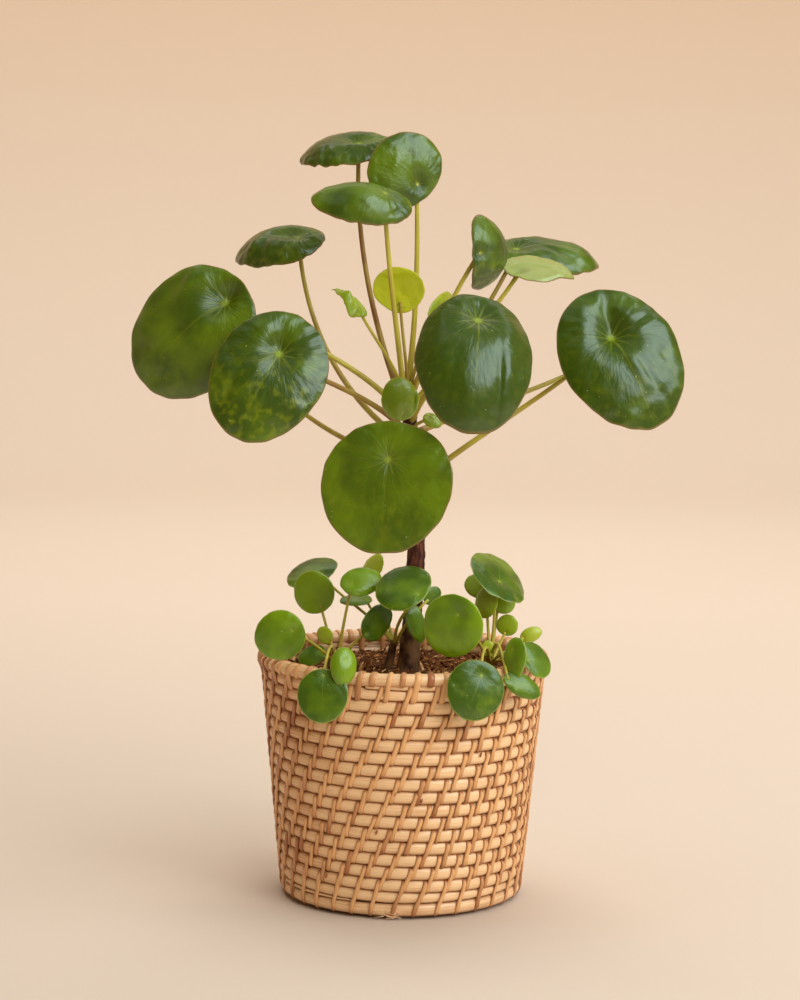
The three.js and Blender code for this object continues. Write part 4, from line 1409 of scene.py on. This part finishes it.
@dataclass
class Basket:
    """The basket: two coiled rods that climb together, lashed with cane strips.

    The coils' creases are straight lines on the unrolled wall. Crease j stands at
    j rows less slope times the angle, squeezed near the foot and the rim, and cut off
    by the level foot rod and the rim.

    Attributes:
        foot_radius: Outer radius of the wall at the foot.
        shoulder_radius: Outer radius under the rim.
        wall_top: Height of the wall there.
        thickness: Depth of the wall.
        row: Height of one row of rod.
        drop: How far a rod sinks in one turn, two rows.
        first_crease: Height under which the rows are squeezed.
        last_crease: Height over which they are squeezed too.
        foot_top: Top of the level rod at the foot.
        foot_low: Bottom of that rod.
        rim_foot: Height at which the rim covers the coils.
        rim_radius: Radius of the rim's middle line.
        rim_level: Height of the rim's middle line.
        rim_fall: Height at which a strip leaves the rim for the wall.
        rim_girth: Radius that strips on the rim are measured at.
        mean_radius: Mean radius of the wall where strips lie.
        gauge_radius: Radius at which the strips' places were measured.
        lashes: How many strips a rod carries a turn.
        stagger: How far the second rod's strips are shifted, as a share of their step.
        foot_line: Strips end at the lowest crease over this even-coil height.
        last_line: They begin at the highest crease under this one.
        rim_line: Those that begin over this one go over the rim.
        near_rim: Ends over this height are tucked in under the rim.
        foot_end: Height at which the lowest strips end.
        width: Width of a strip.
        thick: Thickness of a strip.
        top_crease: Height of the first coil's lower crease at an angle of 0.
        start: Angle at which the first rod begins, under the rim.
        coil_end: Even-coil height of a rod's top where it ends.
        coil_steps: How many sections a rod has in one turn.
        seed: Starts the strips' random draws.
    """

    foot_radius: float = 74.5
    shoulder_radius: float = 87.8
    wall_top: float = 143.6
    thickness: float = 6.0
    row: float = 7.88
    drop: float = 15.76
    first_crease: float = 17.19
    last_crease: float = 135.5
    foot_top: float = 10.15
    foot_low: float = 1.9
    rim_foot: float = 145.7
    rim_radius: float = 85.6
    rim_level: float = 148.2
    rim_fall: float = 143.4
    rim_girth: float = 87.0
    mean_radius: float = 84.0
    gauge_radius: float = 82.0
    lashes: float = 33.72
    stagger: float = 0.36
    foot_line: float = 20.6
    last_line: float = 155.08
    rim_line: float = 147.2
    near_rim: float = 139.0
    foot_end: float = 2.2
    width: float = 3.25
    thick: float = 0.95
    top_crease: float = 143.27
    start: float = -0.26
    coil_end: float = 8.6
    coil_steps: int = 190
    seed: int = 7

    def wall(self, z: np.ndarray) -> np.ndarray:
        """Outer radius of the wall at a height."""
        share = np.asarray(z) / self.wall_top
        return self.foot_radius + (self.shoulder_radius - self.foot_radius) * share

    def level(self, line: np.ndarray) -> np.ndarray:
        """Height of a crease on the squeezed coil.

        Args:
            line: Its height on an even coil.

        Returns:
            Its height, between the foot rod and the rim.
        """
        low, high = self.first_crease, self.last_crease
        z = np.where(line < low, low - (low - line) * 0.89, line)
        z = np.where(line > high, high + (line - high) * 0.85, z)
        return np.clip(z, self.foot_top, self.rim_foot)

    def crease(self, coil: int, angle: np.ndarray) -> np.ndarray:
        """Even-coil height of the lower crease of a coil's rod at an unrolled angle."""
        return self.top_crease - self.drop * (angle + math.pi * coil) / TAU

    def stray(self, angle: np.ndarray, z: np.ndarray) -> np.ndarray:
        """How far lashings stray from their even places.

        They stand to the left in front, more so low on the right and left of the middle
        under the rim.

        Args:
            angle: Angle round the basket.
            z: Height.

        Returns:
            The angle to add.
        """
        aside = np.sin(angle)
        rim = 3.0 * smooth(128.0, 145.0, z) * smooth(0.02, -0.27, aside)
        middle = -5.0 - 3.0 * smooth(55.0, 130.0, z) - rim
        sideways = middle + (6.5 * smooth(50.0, 100.0, z) - 5.0) * aside
        return sideways / self.gauge_radius

    def rods(self, cane: bpy.types.Material) -> None:
        """The two coiled rods and the level rod at the foot.

        A rod's section is an oval of about power 2.2, with cos and sin to the 0.9, that
        fills the space between its creases. It is pinched a little where a lashing
        crosses it, and for its first half turn it reaches up to the rim.

        Args:
            cane: Material of the rods.
        """
        shape = Shape("basket_rods", ("tone", "crease"))
        turn = np.radians([-95, -80, -62, -42, -21, 0, 21, 42, 62, 80, 95, 135, 180, 225])
        oval = [np.sign(v) * np.abs(v) ** 0.9 for v in (np.cos(turn), np.sin(turn))]
        # Painted shade: darker towards the creases above and below each rod, and broadly over its
        # lower side.
        below = np.clip(-np.sin(turn), 0.0, 1.0)
        dark = np.clip(0.85 * np.abs(np.sin(turn)) ** 7 + 0.3 * below**3, 0.0, 1.0)
        for coil in (0, 1):
            begin = self.start - math.pi * coil
            fall = self.top_crease + self.row - self.coil_end
            end = fall * TAU / self.drop - math.pi * coil
            angle = np.linspace(begin, end, int((end - begin) / TAU * self.coil_steps))
            line = self.crease(coil, angle)
            low, high = self.level(line), self.level(line + self.row)
            free = smooth(math.pi - 0.06, math.pi, angle - begin)
            high = self.rim_foot + (high - self.rim_foot) * free
            keep = high - low > 0.9
            angle, low, high = angle[keep], low[keep], high[keep]
            middle, half = (low + high) / 2, (high - low) / 2
            place = (angle - self.stray(angle, middle)) * self.lashes / TAU
            place = place + self.stagger * coil
            pinch = np.exp(-((((place - 0.18 + 0.5) % 1.0 - 0.5) / 0.17) ** 2))
            deep = np.minimum(3.2, 0.9 + 0.62 * half) * (1.0 - 0.06 * pinch)
            half = half * (1.0 - 0.03 * pinch)
            still = np.zeros_like(angle)
            wander = 0.12 * ripples(angle * 9.0, still, 3 + coil, 7.0)
            centre = self.wall(middle) - 3.0 + (3.0 - deep) * 0.8 + wander - 0.35 * pinch
            radius = centre[:, None] + deep[:, None] * oval[0]
            z = middle[:, None] + half[:, None] * oval[1]
            loops = around(angle[:, None], radius, z)
            tone = 0.16 * ripples(angle * 2.0, still, 9 + coil, 3.0) - 0.12
            # Painted shade: the rods turn browner round the basket's left side, where less light
            # falls.
            tone = tone + 0.4 * smooth(0.3, 0.85, -np.sin(angle))
            shape.add_stack(
                loops,
                plane=unrolled(angle[:, None], (turn / TAU)[None]),
                tone=np.broadcast_to(tone[:, None], z.shape),
                crease=np.broadcast_to(dark[None], z.shape),
            )
        angle = np.arange(240) / 240 * TAU
        wave = 0.12 * ripples(14.0 * np.cos(angle), 14.0 * np.sin(angle), 17, 6.0)[None]
        radius = self.wall(6.0) - 3.6 + wave + 3.7 * oval[0][:, None]
        z = (self.foot_top + self.foot_low) / 2 + 0.3 * wave + 3.95 * oval[1][:, None]
        shape.add_ring(
            around(angle[None], radius, z),
            unrolled(angle[None], (turn / TAU)[:, None]),
            tone=0.1,
            crease=np.broadcast_to(dark[:, None], z.shape),
        )
        shape.build([cane], ["basket_wall"])

    def strips(self, cane: bpy.types.Material) -> None:
        """Lashing strips: each crosses two rods, leaning to the right as it climbs.

        A strip's section is rounded outside and flat inside. Its middle line lies on
        the rods, sinks a little at the crease between them and is tucked in at both
        ends.

        Args:
            cane: Material of the strips.
        """
        rng = np.random.default_rng(self.seed)
        shape = Shape("basket_lashing", ("tone", "crease"))
        for coil in (0, 1):
            even = (np.arange(-40, 400) - self.stagger * coil) * TAU / self.lashes
            line = self.crease(coil, even) + self.row
            use = (line > self.foot_line) & (line <= self.last_line)
            even, line = even[use], line[use]
            to_foot = line < self.foot_line + self.row
            top = self.level(line)
            top = np.where(top > self.near_rim, self.rim_foot, top)
            low = np.where(to_foot, self.foot_end, self.level(line - 2.0 * self.row))
            even = even + rng.normal(0.0, 0.006, len(even))
            aside = np.sin(even)
            lean = 2.6 + 2.0 * smooth(-0.75, -0.1, aside) - 1.2 * smooth(0.1, 0.6, aside)
            lean = lean * rng.normal(1.0, 0.14, len(even)) * (top - low) / self.drop
            angle = even + self.stray(even, (top + low) / 2) + lean / (2.0 * self.mean_radius)
            wide = self.width * rng.uniform(0.86, 1.12, len(even))
            # Painted shade: strips turn browner round the basket's left side, where less light
            # falls, besides their own random tone.
            tone = rng.normal(0.0, 0.32, len(even)) + 0.3 * smooth(0.3, 0.85, -aside)
            made = Lashings(angle, top, low, lean, wide, tone, to_foot)
            over_rim = line > self.rim_line
            self.lay(shape, made.pick(~over_rim))
            self.over(shape, made.pick(over_rim))
            self.wrap(
                shape,
                angle[over_rim] + 0.47 * TAU / self.lashes,
                wide[over_rim] * 1.25,
                rng.normal(0.5, 0.3, over_rim.sum()),
            )
        shape.build([cane])

    def section(self, wide: np.ndarray) -> tuple[np.ndarray, np.ndarray]:
        """A strip's rounded section.

        Args:
            wide: Widths of strips.

        Returns:
            Offsets of its corners round the basket, and out from it.
        """
        across = np.array([-1.0, -0.84, -0.38, 0.38, 0.84, 1.0, 0.5, -0.5])
        out = np.array([-0.15, 0.5, 0.9, 0.9, 0.5, -0.15, -0.5, -0.5]) * self.thick
        return wide[..., None] / 2 * across, out

    def lay(self, shape: Shape, strips: Lashings) -> None:
        """Lays strips on the wall between two creases.

        Args:
            shape: Takes the strips.
            strips: Their places and sizes.
        """
        share = np.array([0.0, 0.045, 0.14, 0.3, 0.5, 0.7, 0.86, 0.955, 1.0])
        stand = np.array([-1.0, 0.4, 0.96, 1.0, 0.8, 1.0, 0.96, 0.4, -1.0])
        slim = np.array([0.86, 0.94, 1.0, 1.0, 0.94, 1.0, 1.0, 0.92, 0.84])
        z = strips.top[:, None] + (strips.low - strips.top)[:, None] * share
        wall = self.wall(z)
        radius = wall + 0.25 - 1.5 * (1.0 - stand)
        under = wall + 0.35 - 0.2 * np.clip(6.0 - z, 0.0, 6.0) ** 1.5
        radius = np.where(strips.to_foot[:, None] & (share > 0.6), under, radius)
        sideways, out = self.section(strips.wide[:, None] * slim)
        bent = share - 0.08 * np.sin(TAU * share)
        turn = (strips.angle[:, None] - strips.lean[:, None] * bent / wall)[..., None]
        loops = around(
            turn + sideways / wall[..., None], radius[..., None] + out, z[..., None]
        )
        # Painted shade: darker on the strip's sides, most on its left, and underneath, and at ends
        # tucked under the rods.
        edge = np.array([0.9, 0.35, 0.0, 0.0, 0.1, 0.5, 1.0, 1.0])
        tucked_end_shade = np.clip(1.0 - 7.0 * np.minimum(share, 1.0 - share), 0.0, 0.8)
        crease = np.broadcast_to(np.maximum(tucked_end_shade[:, None], edge), loops.shape[:3])
        tone = strips.tone[:, None] + 0.6 * (share - 0.4)
        shape.add_many(loops, tone=tone, crease=crease)

    def bind(
        self,
        shape: Shape,
        turn: np.ndarray,
        path: np.ndarray,
        away: np.ndarray,
        wide: np.ndarray,
        tone: np.ndarray,
    ) -> None:
        """Adds strips along paths that cross the rim.

        Args:
            shape: Takes the strips.
            turn: Angle round the basket of each strip at each point of its path.
            path: Radius and height of those points.
            away: Direction out of the strip there, in radius and height.
            wide: Width of each strip.
            tone: Tone of each strip.
        """
        sideways, out = self.section(np.repeat(wide[:, None], turn.shape[1], axis=1))
        loops = around(
            turn[..., None] + sideways / self.rim_girth,
            path[..., :1] + out * away[..., :1],
            path[..., 1:] + out * away[..., 1:],
        )
        shape.add_many(loops, tone=tone)

    def over(self, shape: Shape, strips: Lashings) -> None:
        """Lays strips from inside the wall over the rim and down to a crease.

        They lean only where they have left the top of the rim.

        Args:
            shape: Takes the strips.
            strips: Their places and sizes.
        """
        bend = np.radians([200.0, 165.0, 130.0, 95.0, 60.0, 25.0, -15.0])
        top = self.rim_level + 4.1
        inside = [[81.0, 136.0], [81.3, 141.0]]
        across = [self.rim_radius, self.rim_level] + np.stack(
            [4.75 * np.cos(bend), 4.1 * np.sin(bend)], -1
        )
        first = np.tile(np.concatenate([inside, across]), (len(strips.angle), 1, 1))
        fall = np.array([0.0, 0.3, 0.6, 0.9, 1.0])
        wall_z = self.rim_fall + (strips.low[:, None] - self.rim_fall) * fall
        wall_r = self.wall(wall_z) + np.array([0.9, 0.45, 0.25, -0.3, -2.0])
        path = np.concatenate([first, np.stack([wall_r, wall_z], -1)], 1)
        z = path[..., 1]
        way = np.gradient(path, axis=1)
        way /= np.linalg.norm(way, axis=-1, keepdims=True)
        away = np.stack([-way[..., 1], way[..., 0]], -1)
        drop = np.clip(top - z, 0.0, 20.0) * (np.arange(z.shape[1]) > 5)
        turn = strips.angle[:, None] - strips.lean[:, None] * 0.062 * drop / self.wall(z)
        self.bind(shape, turn, path, away, strips.wide * 1.15, strips.tone + 0.2)

    def wrap(self, shape: Shape, angle: np.ndarray, wide: np.ndarray, tone: np.ndarray) -> None:
        """Adds short strips that go round the rim only.

        Args:
            shape: Takes the strips.
            angle: Angle of each strip's middle.
            wide: Its width.
            tone: Its tone.
        """
        bend = np.radians([235.0, 200.0, 165.0, 130.0, 95.0, 60.0, 25.0, -15.0, -50.0])
        away = np.stack([np.cos(bend), np.sin(bend)], -1)
        path = np.array([self.rim_radius, self.rim_level]) + away * [4.68, 4.05]
        turn = angle[:, None] - 0.012 * np.linspace(-1.0, 1.0, len(bend))
        self.bind(shape, turn, path, away, wide, tone)

    def rim(self, cane: bpy.types.Material) -> None:
        """The thick rod that finishes the top: an oval ring with slow waves in it.

        Args:
            cane: Material of the rod.
        """
        angle = np.arange(260) / 260 * TAU
        turn = np.arange(18) / 18 * TAU
        wave = 0.1 * ripples(6.0 * np.cos(angle), 6.0 * np.sin(angle), 21, 3.0)[None]
        radius = self.rim_radius + 4.5 * np.cos(turn)[:, None] + wave
        z = self.rim_level + 3.95 * np.sin(turn)[:, None]
        # Painted shade: the rim rod darkens towards its underside.
        dark = np.clip(-np.sin(turn), 0.0, 1.0) ** 3
        shape = Shape("basket_rim_rod", ("tone", "crease"))
        shape.add_ring(
            around(angle[None], radius, z),
            unrolled(angle[None], (turn / TAU)[:, None]),
            tone=np.broadcast_to(0.1 + 1.5 * wave, radius.shape),
            crease=np.broadcast_to(dark[:, None], radius.shape),
        )
        shape.build([cane], ["basket_rim"])

    def frays(self, cane: bpy.types.Material) -> None:
        """Splinters at the rods' cut ends, and the dark nubs of cut strips.

        Args:
            cane: Material of both.
        """
        rng = np.random.default_rng(5)
        shape = Shape("basket_frays", ("tone", "crease"))
        spots = [(-0.27, 143.6, 9.0, 7), (-0.13, 4.5, 11.0, 16), (-0.05, 3.5, 8.0, 12)]
        t = np.linspace(0.0, 1.0, 6)
        for way, level, length, many in spots:
            for _ in range(many):
                run = rng.uniform(0.4, 1.0) * length
                if level > self.foot_top:
                    run = -run
                else:
                    run = run * rng.choice([-1, 1])
                z = level + rng.uniform(-2.2, 2.2) + t * rng.uniform(-1.2, 1.2)
                radius = self.wall(level) + 0.15 + rng.uniform(0.0, 0.35) * np.sin(t * 3.0)
                angle = way + rng.uniform(-0.02, 0.02) + run * t / 76.0
                path = around(angle, radius, np.maximum(z, 0.5))
                thick = 0.28 * np.sqrt(1.02 - t) * rng.uniform(0.6, 1.2)
                tone = np.full(6, rng.uniform(-0.3, 0.1))
                add_stick(shape, path, thick, 5, tone=tone)
        nubs = [(-0.045, 79.0), (0.15, 74.5), (-0.18, 55.0), (0.6, 101.0), (-0.62, 24.0)]
        t, full = np.linspace(0.0, 1.0, 5), np.ones(5)
        thick = 0.7 * np.array([0.3, 0.9, 1.0, 0.8, 0.3])
        for way, level in nubs:
            radius = self.wall(level) + 0.3 + 0.2 * t
            path = around(way - 0.012 * t, radius, level + 1.6 - 3.2 * t)
            add_stick(shape, path, thick, 7, tone=full, crease=full)
        shape.build([cane])

    def underside(self, cane: bpy.types.Material) -> None:
        """The basket's floor: one rod coiled flat, as a disc with scalloped faces.

        Args:
            cane: Material of the floor.
        """
        coil_pitch, swell, low, high = 6.6, 0.9, 1.3, 3.8
        radius = np.linspace(2.0, self.wall(0.0) - self.thickness - 0.6, 60)
        bead = np.abs(np.sin(radius / coil_pitch * math.pi))
        z = np.concatenate([low - swell * bead, high + swell * bead[::-1]])
        bead = np.concatenate([bead, bead[::-1]])
        radius = np.concatenate([radius, radius[::-1]])
        angle = np.arange(96) / 96 * TAU
        loops = around(angle[None], radius[:, None], z[:, None])
        shape = Shape("basket_floor", ("tone", "crease"))
        shape.add_stack(
            loops,
            plane=unrolled(angle[None], radius[:, None] / 60.0),
            # Painted shade: darker in the grooves between the coil's turns.
            crease=np.broadcast_to((1.0 - bead[:, None]) ** 3, loops.shape[:2]),
            tone=0.2,
        )
        shape.build([cane], ["basket_base"])


@dataclass
class Potting:
    """The soil in the basket, with bark chips and coir fibres on it.

    Attributes:
        basket: What holds it.
        level: Mean height of its top.
        chips: How many chips are strewn.
        fibres: How many fibres are.
    """

    basket: Basket
    level: float = 139.6
    chips: int = 1900
    fibres: int = 150

    def hold(self, z: np.ndarray) -> np.ndarray:
        """Radius inside the wall, a gap clear of it."""
        return (self.basket.wall(z) - self.basket.thickness - 0.3) * 0.9987

    def surface(self, x: np.ndarray, y: np.ndarray) -> np.ndarray:
        """Height of the soil: slow mounds with small clods over them."""
        return (
            self.level
            + 0.9 * ripples(x, y, 31, 34.0)
            + 0.5 * ripples(x, y, 32, 9.0)
            + 0.35 * ripples(x, y, 33, 4.0)
        )

    def bed(self, earth: bpy.types.Material) -> None:
        """The soil's body: straight sides and a lumpy top.

        Args:
            earth: Material of the soil.
        """
        angle = np.arange(180) / 180 * TAU
        sides = [(6.8, -1.5), (134.3, -1.5), (134.35, -0.2), (137.0, -0.3)]
        rows = [(float(self.hold(np.array(z))) + off, z) for z, off in sides]
        low = np.stack([np.broadcast_to(r, angle.shape) for r, _ in rows])
        rings = np.linspace(1.0, 0.02, 44) * (self.hold(np.array(138.0)) - 0.3)
        top = np.broadcast_to(rings[:, None], (len(rings), len(angle)))
        radius = np.concatenate([low, top])
        x, y = radius * np.sin(angle), -radius * np.cos(angle)
        z = self.surface(x, y)
        z[: len(rows)] = np.array([level for _, level in rows])[:, None]
        shape = Shape("soil_bed", ("tone",))
        shape.add_stack(np.stack([x, y, z], -1), tone=0.08)
        shape.build([earth], ["soil"])

    def strew(self, rng: np.random.Generator, many: int, reach: Pair) -> tuple[np.ndarray, ...]:
        """Random places, even over a disc.

        Args:
            rng: Draws the places.
            many: How many there are.
            reach: Least share of the disc's area, and its radius.

        Returns:
            Where they are along x and along y.
        """
        far = np.sqrt(rng.uniform(reach[0], 1.0, many)) * reach[1]
        way = rng.uniform(0.0, TAU, many)
        return far * np.sin(way), -far * np.cos(way)

    def shards(self, shape: Shape, rng: np.random.Generator) -> None:
        """Adds the bark chips: bent five-sided shards turned at random.

        Args:
            shape: Takes the chips.
            rng: Draws their places and sizes.
        """
        many = self.chips
        x, y = self.strew(rng, many, (0.003, 78.0))
        length = rng.gamma(3.0, 1.0, many).clip(1.2, 8.0) * 1.05
        wide = length * rng.uniform(0.25, 0.6, many)
        thick = rng.uniform(0.4, 1.3, many)
        turn = rng.uniform(0.0, TAU, many)[:, None, None]
        tilt = rng.normal(0.0, 0.55, many).clip(-1.1, 1.1)
        t = np.array([-1.0, -0.45, 0.4, 1.0])
        slim = np.array([0.35, 1.0, 0.85, 0.25])[None, :, None] / 2
        ring = np.arange(5) / 5 * TAU
        along = t[None, :, None] * length[:, None, None] / 2
        jag = rng.uniform(0.7, 1.25, (many, 4, 5))
        side = slim * wide[:, None, None] * np.cos(ring) * jag
        up = slim * thick[:, None, None] * np.sin(ring) * jag
        up = up + along * np.tan(tilt)[:, None, None] * 0.8
        lift = rng.uniform(-0.2, 0.9, many) + 0.3 * np.abs(np.tan(tilt)) * length * 0.5
        px = x[:, None, None] + along * np.cos(turn) - side * np.sin(turn)
        py = y[:, None, None] + along * np.sin(turn) + side * np.cos(turn)
        pz = (self.surface(x, y) + lift)[:, None, None] + up
        tone = rng.beta(1.6, 2.4, many)
        tone = np.where(rng.uniform(0.0, 1.0, many) > 0.93, rng.uniform(0.85, 1.1, many), tone)
        inside = np.hypot(px, py).max((1, 2)) < self.hold(np.array(139.0)) - 0.2
        shape.add_many(np.stack([px, py, pz], -1)[inside], tone=tone[inside])

    def threads(self, shape: Shape, rng: np.random.Generator) -> None:
        """Adds the coir fibres: thin threads, each bent like a bow.

        Args:
            shape: Takes the fibres.
            rng: Draws their places and sizes.
        """
        many = self.fibres
        x, y = self.strew(rng, many, (0.01, 72.0))
        t = np.linspace(-1.0, 1.0, 6)
        length, turn = rng.uniform(3.0, 9.0, many), rng.uniform(0.0, TAU, many)[:, None]
        sway = rng.uniform(-1.5, 1.5, many)[:, None] * t**2
        along = t * length[:, None] / 2
        px = x[:, None] + along * np.cos(turn) - sway * np.sin(turn)
        py = y[:, None] + along * np.sin(turn) + sway * np.cos(turn)
        high = self.surface(x, y) + rng.uniform(0.5, 1.6, many)
        pz = high[:, None] + rng.uniform(-1, 1, many)[:, None] * t
        ring = np.arange(4) / 4 * TAU
        thin = rng.uniform(0.12, 0.28, many)[:, None, None] * np.sqrt(1.05 - t**2)[None, :, None]
        side = thin * np.cos(ring)
        loops = np.stack(
            [
                px[..., None] - side * np.sin(turn)[..., None],
                py[..., None] + side * np.cos(turn)[..., None],
                pz[..., None] + thin * np.sin(ring),
            ],
            -1,
        )
        shape.add_many(loops, tone=rng.uniform(0.3, 1.0, many))

    def litter(self, chip: bpy.types.Material) -> None:
        """Chips and fibres strewn on the soil, in one piece.

        Args:
            chip: Material of both.
        """
        rng = np.random.default_rng(17)
        shape = Shape("soil_chips", ("tone",))
        self.shards(shape, rng)
        self.threads(shape, rng)
        shape.build([chip])


@dataclass(frozen=True)
class Studio:
    """A pale cove all round the plant, soft lamps and the camera.

    Attributes:
        eye: Where the camera stands.
        down: How far it is tipped down, in degrees.
        roll: How far it is rolled, in degrees.
        focal: Its focal length, in parts of the picture.
        frame_height: Height of the picture, in the same parts.
        paper: Colour of the floor.
        wall: Colour of the top of the cove.
        flat: Radius of the flat floor.
        bend: Radius of the curve up into the wall.
        top: Height of the wall.
    """

    eye: Point = (-2.96, -1600.0, 416.25)
    down: float = 6.055
    roll: float = 0.6
    focal: float = 2594.4
    frame_height: float = 1000.0
    paper: Colour = colour(214, 200, 183)
    wall: Colour = colour(199, 172, 142)
    flat: float = 2400.0
    bend: float = 1300.0
    top: float = 4200.0

    def camera(self) -> None:
        """The camera: looks along +Y, tipped down and rolled a little."""
        tip, roll = math.radians(self.down), math.radians(self.roll)
        ahead = Vector((0.0, math.cos(tip), -math.sin(tip)))
        level = Vector((1.0, 0.0, 0.0))
        over = level.cross(ahead)
        right = level * math.cos(roll) + over * math.sin(roll)
        up = over * math.cos(roll) - level * math.sin(roll)
        data = bpy.data.cameras.new("camera")
        data.sensor_width = 36.0
        data.lens = self.focal / self.frame_height * data.sensor_width
        data.clip_start, data.clip_end = 0.05, 50.0
        camera = bpy.data.objects.new("camera", data)
        turn = Matrix((right, up, -ahead)).transposed().to_4x4()
        camera.matrix_world = Matrix.Translation(Vector(self.eye) * MM) @ turn
        bpy.context.scene.collection.objects.link(camera)
        bpy.context.scene.camera = camera

    def cove(self) -> None:
        """The floor: a flat disc that curves up into a round wall, one smooth sheet."""
        turn = np.linspace(0.0, math.pi / 2, 16)[1:]
        level = [50.0, 400.0, 1200.0, self.flat]
        curve = self.flat + self.bend * np.sin(turn)
        radius = np.concatenate([level, curve, [self.flat + self.bend]])
        z = np.concatenate([np.zeros(len(level)), self.bend * (1.0 - np.cos(turn)), [self.top]])
        angle = np.arange(96) / 96 * TAU
        loops = around(angle[None], radius[:, None], z[:, None]) * MM
        flat = loops.reshape(-1, 3)
        index = np.arange(len(flat)).reshape(loops.shape[:2])
        after = np.roll(index, -1, axis=1)
        quads = np.stack([index[:-1], index[1:], after[1:], after[:-1]], -1).reshape(-1, 4)
        points = np.concatenate([flat, [[0.0, 0.0, 0.0]]])
        centre = np.stack([np.full(len(angle), len(flat)), index[0], after[0]], -1)
        mesh = bpy.data.meshes.new("studio_floor")
        mesh.from_pydata(points.tolist(), [], quads.tolist() + centre.tolist())
        mesh.polygons.foreach_set("use_smooth", np.ones(len(mesh.polygons), bool))
        floor = bpy.data.objects.new("studio_floor", mesh)
        bpy.context.scene.collection.objects.link(floor)
        w = Wiring("studio_paper", 0.95, 0.05)
        height = w.split(w.place())[2]
        w.set("Base Color", w.mix(w.rise(height, 0.0, 1.6), self.paper, self.wall))
        mesh.materials.append(w.material)

    def lamp(
        self, name: str, at: Point, aim: Point, size: Pair, power: float, hue: Colour,
        gloss: bool = True, wash: bool = True,
    ) -> None:
        """A soft rectangular lamp, in metres and watts, that the camera doesn't see.

        Args:
            name: Name of the lamp.
            at: Where it stands.
            aim: The point that it faces.
            size: Its width and height.
            power: How strong it is.
            hue: Its colour.
            gloss: Whether it shows as a highlight on glossy pieces.
            wash: Whether it lights pieces besides.
        """
        data = bpy.data.lights.new(name, "AREA")
        data.shape = "RECTANGLE"
        data.size, data.size_y = size
        data.energy, data.color = power, hue
        lamp = bpy.data.objects.new(name, data)
        lamp.location = at
        lamp.rotation_euler = (Vector(aim) - Vector(at)).to_track_quat("-Z", "Y").to_euler()
        lamp.visible_camera = False
        lamp.visible_glossy, lamp.visible_diffuse = gloss, wash
        bpy.context.scene.collection.objects.link(lamp)

    def light(self) -> None:
        """The lamps and the air.

        The window, front and top lamps light without showing as highlights. The pane is
        a highlight only, the sky lamp is both, and the last one lights the cove's back.
        """
        middle, above, over = (0.0, 0.0, 0.25), (0.1, 0.65, 2.4), (0.1, 0.45, 0.0)
        warm = (1.0, 0.97, 0.94)
        cool, blue, pale = (0.9, 0.96, 1.0), (0.76, 0.9, 1.0), (1.0, 0.98, 0.95)
        self.lamp("window", (1.68, -0.89, 1.2), middle, (2.2, 1.9), 26.0, cool, False)
        self.lamp("pane", (1.2, -0.85, 1.65), middle, (2.0, 1.4), 34.0, blue, wash=False)
        self.lamp("front", (0.85, -1.6, 1.35), middle, (1.5, 1.0), 20.0, pale, False)
        self.lamp("top", above, over, (2.0, 2.2), 38.0, warm, False)
        self.lamp("sky", above, over, (2.6, 2.8), 15.0, warm)
        self.lamp("back", (0.0, 1.5, 2.6), (0.0, 3.6, 0.9), (2.6, 0.6), 53.0, (1.0, 0.95, 0.9))
        world = bpy.data.worlds.new("studio_air")
        world.use_nodes = True
        background = world.node_tree.nodes["Background"]
        background.inputs["Color"].default_value = (*colour(255, 240, 222), 1.0)
        background.inputs["Strength"].default_value = 0.12
        bpy.context.scene.world = world
        bpy.context.scene.view_settings.view_transform = "Standard"


def finishes() -> dict[str, bpy.types.Material]:
    """Makes every material of the object.

    Returns:
        The materials, by name.
    """
    made = (
        BladeFinish(
            "leaf_green", colour(54, 78, 2), colour(98, 126, 6), colour(140, 152, 18),
            colour(124, 140, 62), colour(130, 98, 38),
        ),
        BladeFinish(
            "leaf_young", colour(128, 152, 16), colour(184, 194, 54), colour(200, 204, 96),
            colour(196, 200, 24), colour(176, 150, 60), 0.38, 0.45, grain=0.35,
        ),
        BladeFinish(
            "leaf_shoot", colour(60, 92, 1), colour(122, 158, 2), colour(150, 170, 24),
            colour(130, 156, 60), colour(166, 176, 70), 0.34, 0.2,
            pale=colour(200, 208, 60), grain=0.25,
        ),
        StalkFinish("stalk", colour(192, 184, 66), colour(142, 98, 52)),
        CaneFinish("cane_rod", colour(246, 207, 156), colour(200, 138, 86), colour(162, 88, 40)),
        CaneFinish(
            "cane_strip", colour(232, 178, 118), colour(168, 104, 56), colour(160, 90, 44),
            (1.0, 1.0),
        ),
        PlainFinish("bract", colour(206, 158, 128), colour(168, 112, 88), 0.55, 300.0),
        BarkFinish(),
        ChipFinish("chips"),
        PlainFinish("nursery_pot", colour(46, 33, 24), colour(60, 43, 31), 0.5),
    )
    return {finish.name: finish.make() for finish in made}


def main() -> None:
    """Builds the studio and the model, piece by piece."""
    logging.basicConfig(level=logging.INFO, format="%(name)s: %(message)s")
    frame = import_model()
    studio = Studio()
    studio.camera()
    studio.cove()
    studio.light()
    looks = finishes()
    ages = {
        Age.MATURE: looks["leaf_green"],
        Age.YOUNG: looks["leaf_young"],
        Age.SHOOT: looks["leaf_shoot"],
    }
    plant = Plant()
    plant.trunk(looks["bark"])
    plant.bracts(looks["bract"])
    plant.crown(ages, looks["stalk"])
    plant.shoots(ages, looks["stalk"], looks["bark"])
    basket = Basket()
    basket.rods(looks["cane_rod"])
    basket.strips(looks["cane_strip"])
    basket.rim(looks["cane_rod"])
    basket.frays(looks["cane_rod"])
    basket.underside(looks["cane_rod"])
    soil = Potting(basket)
    soil.bed(looks["chips"])
    soil.litter(looks["chips"])
    liner = frame["nodes"]["liner"]
    liner.data.materials.clear()
    liner.data.materials.append(looks["nursery_pot"])
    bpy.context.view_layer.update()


if __name__ == "__main__":
    main()
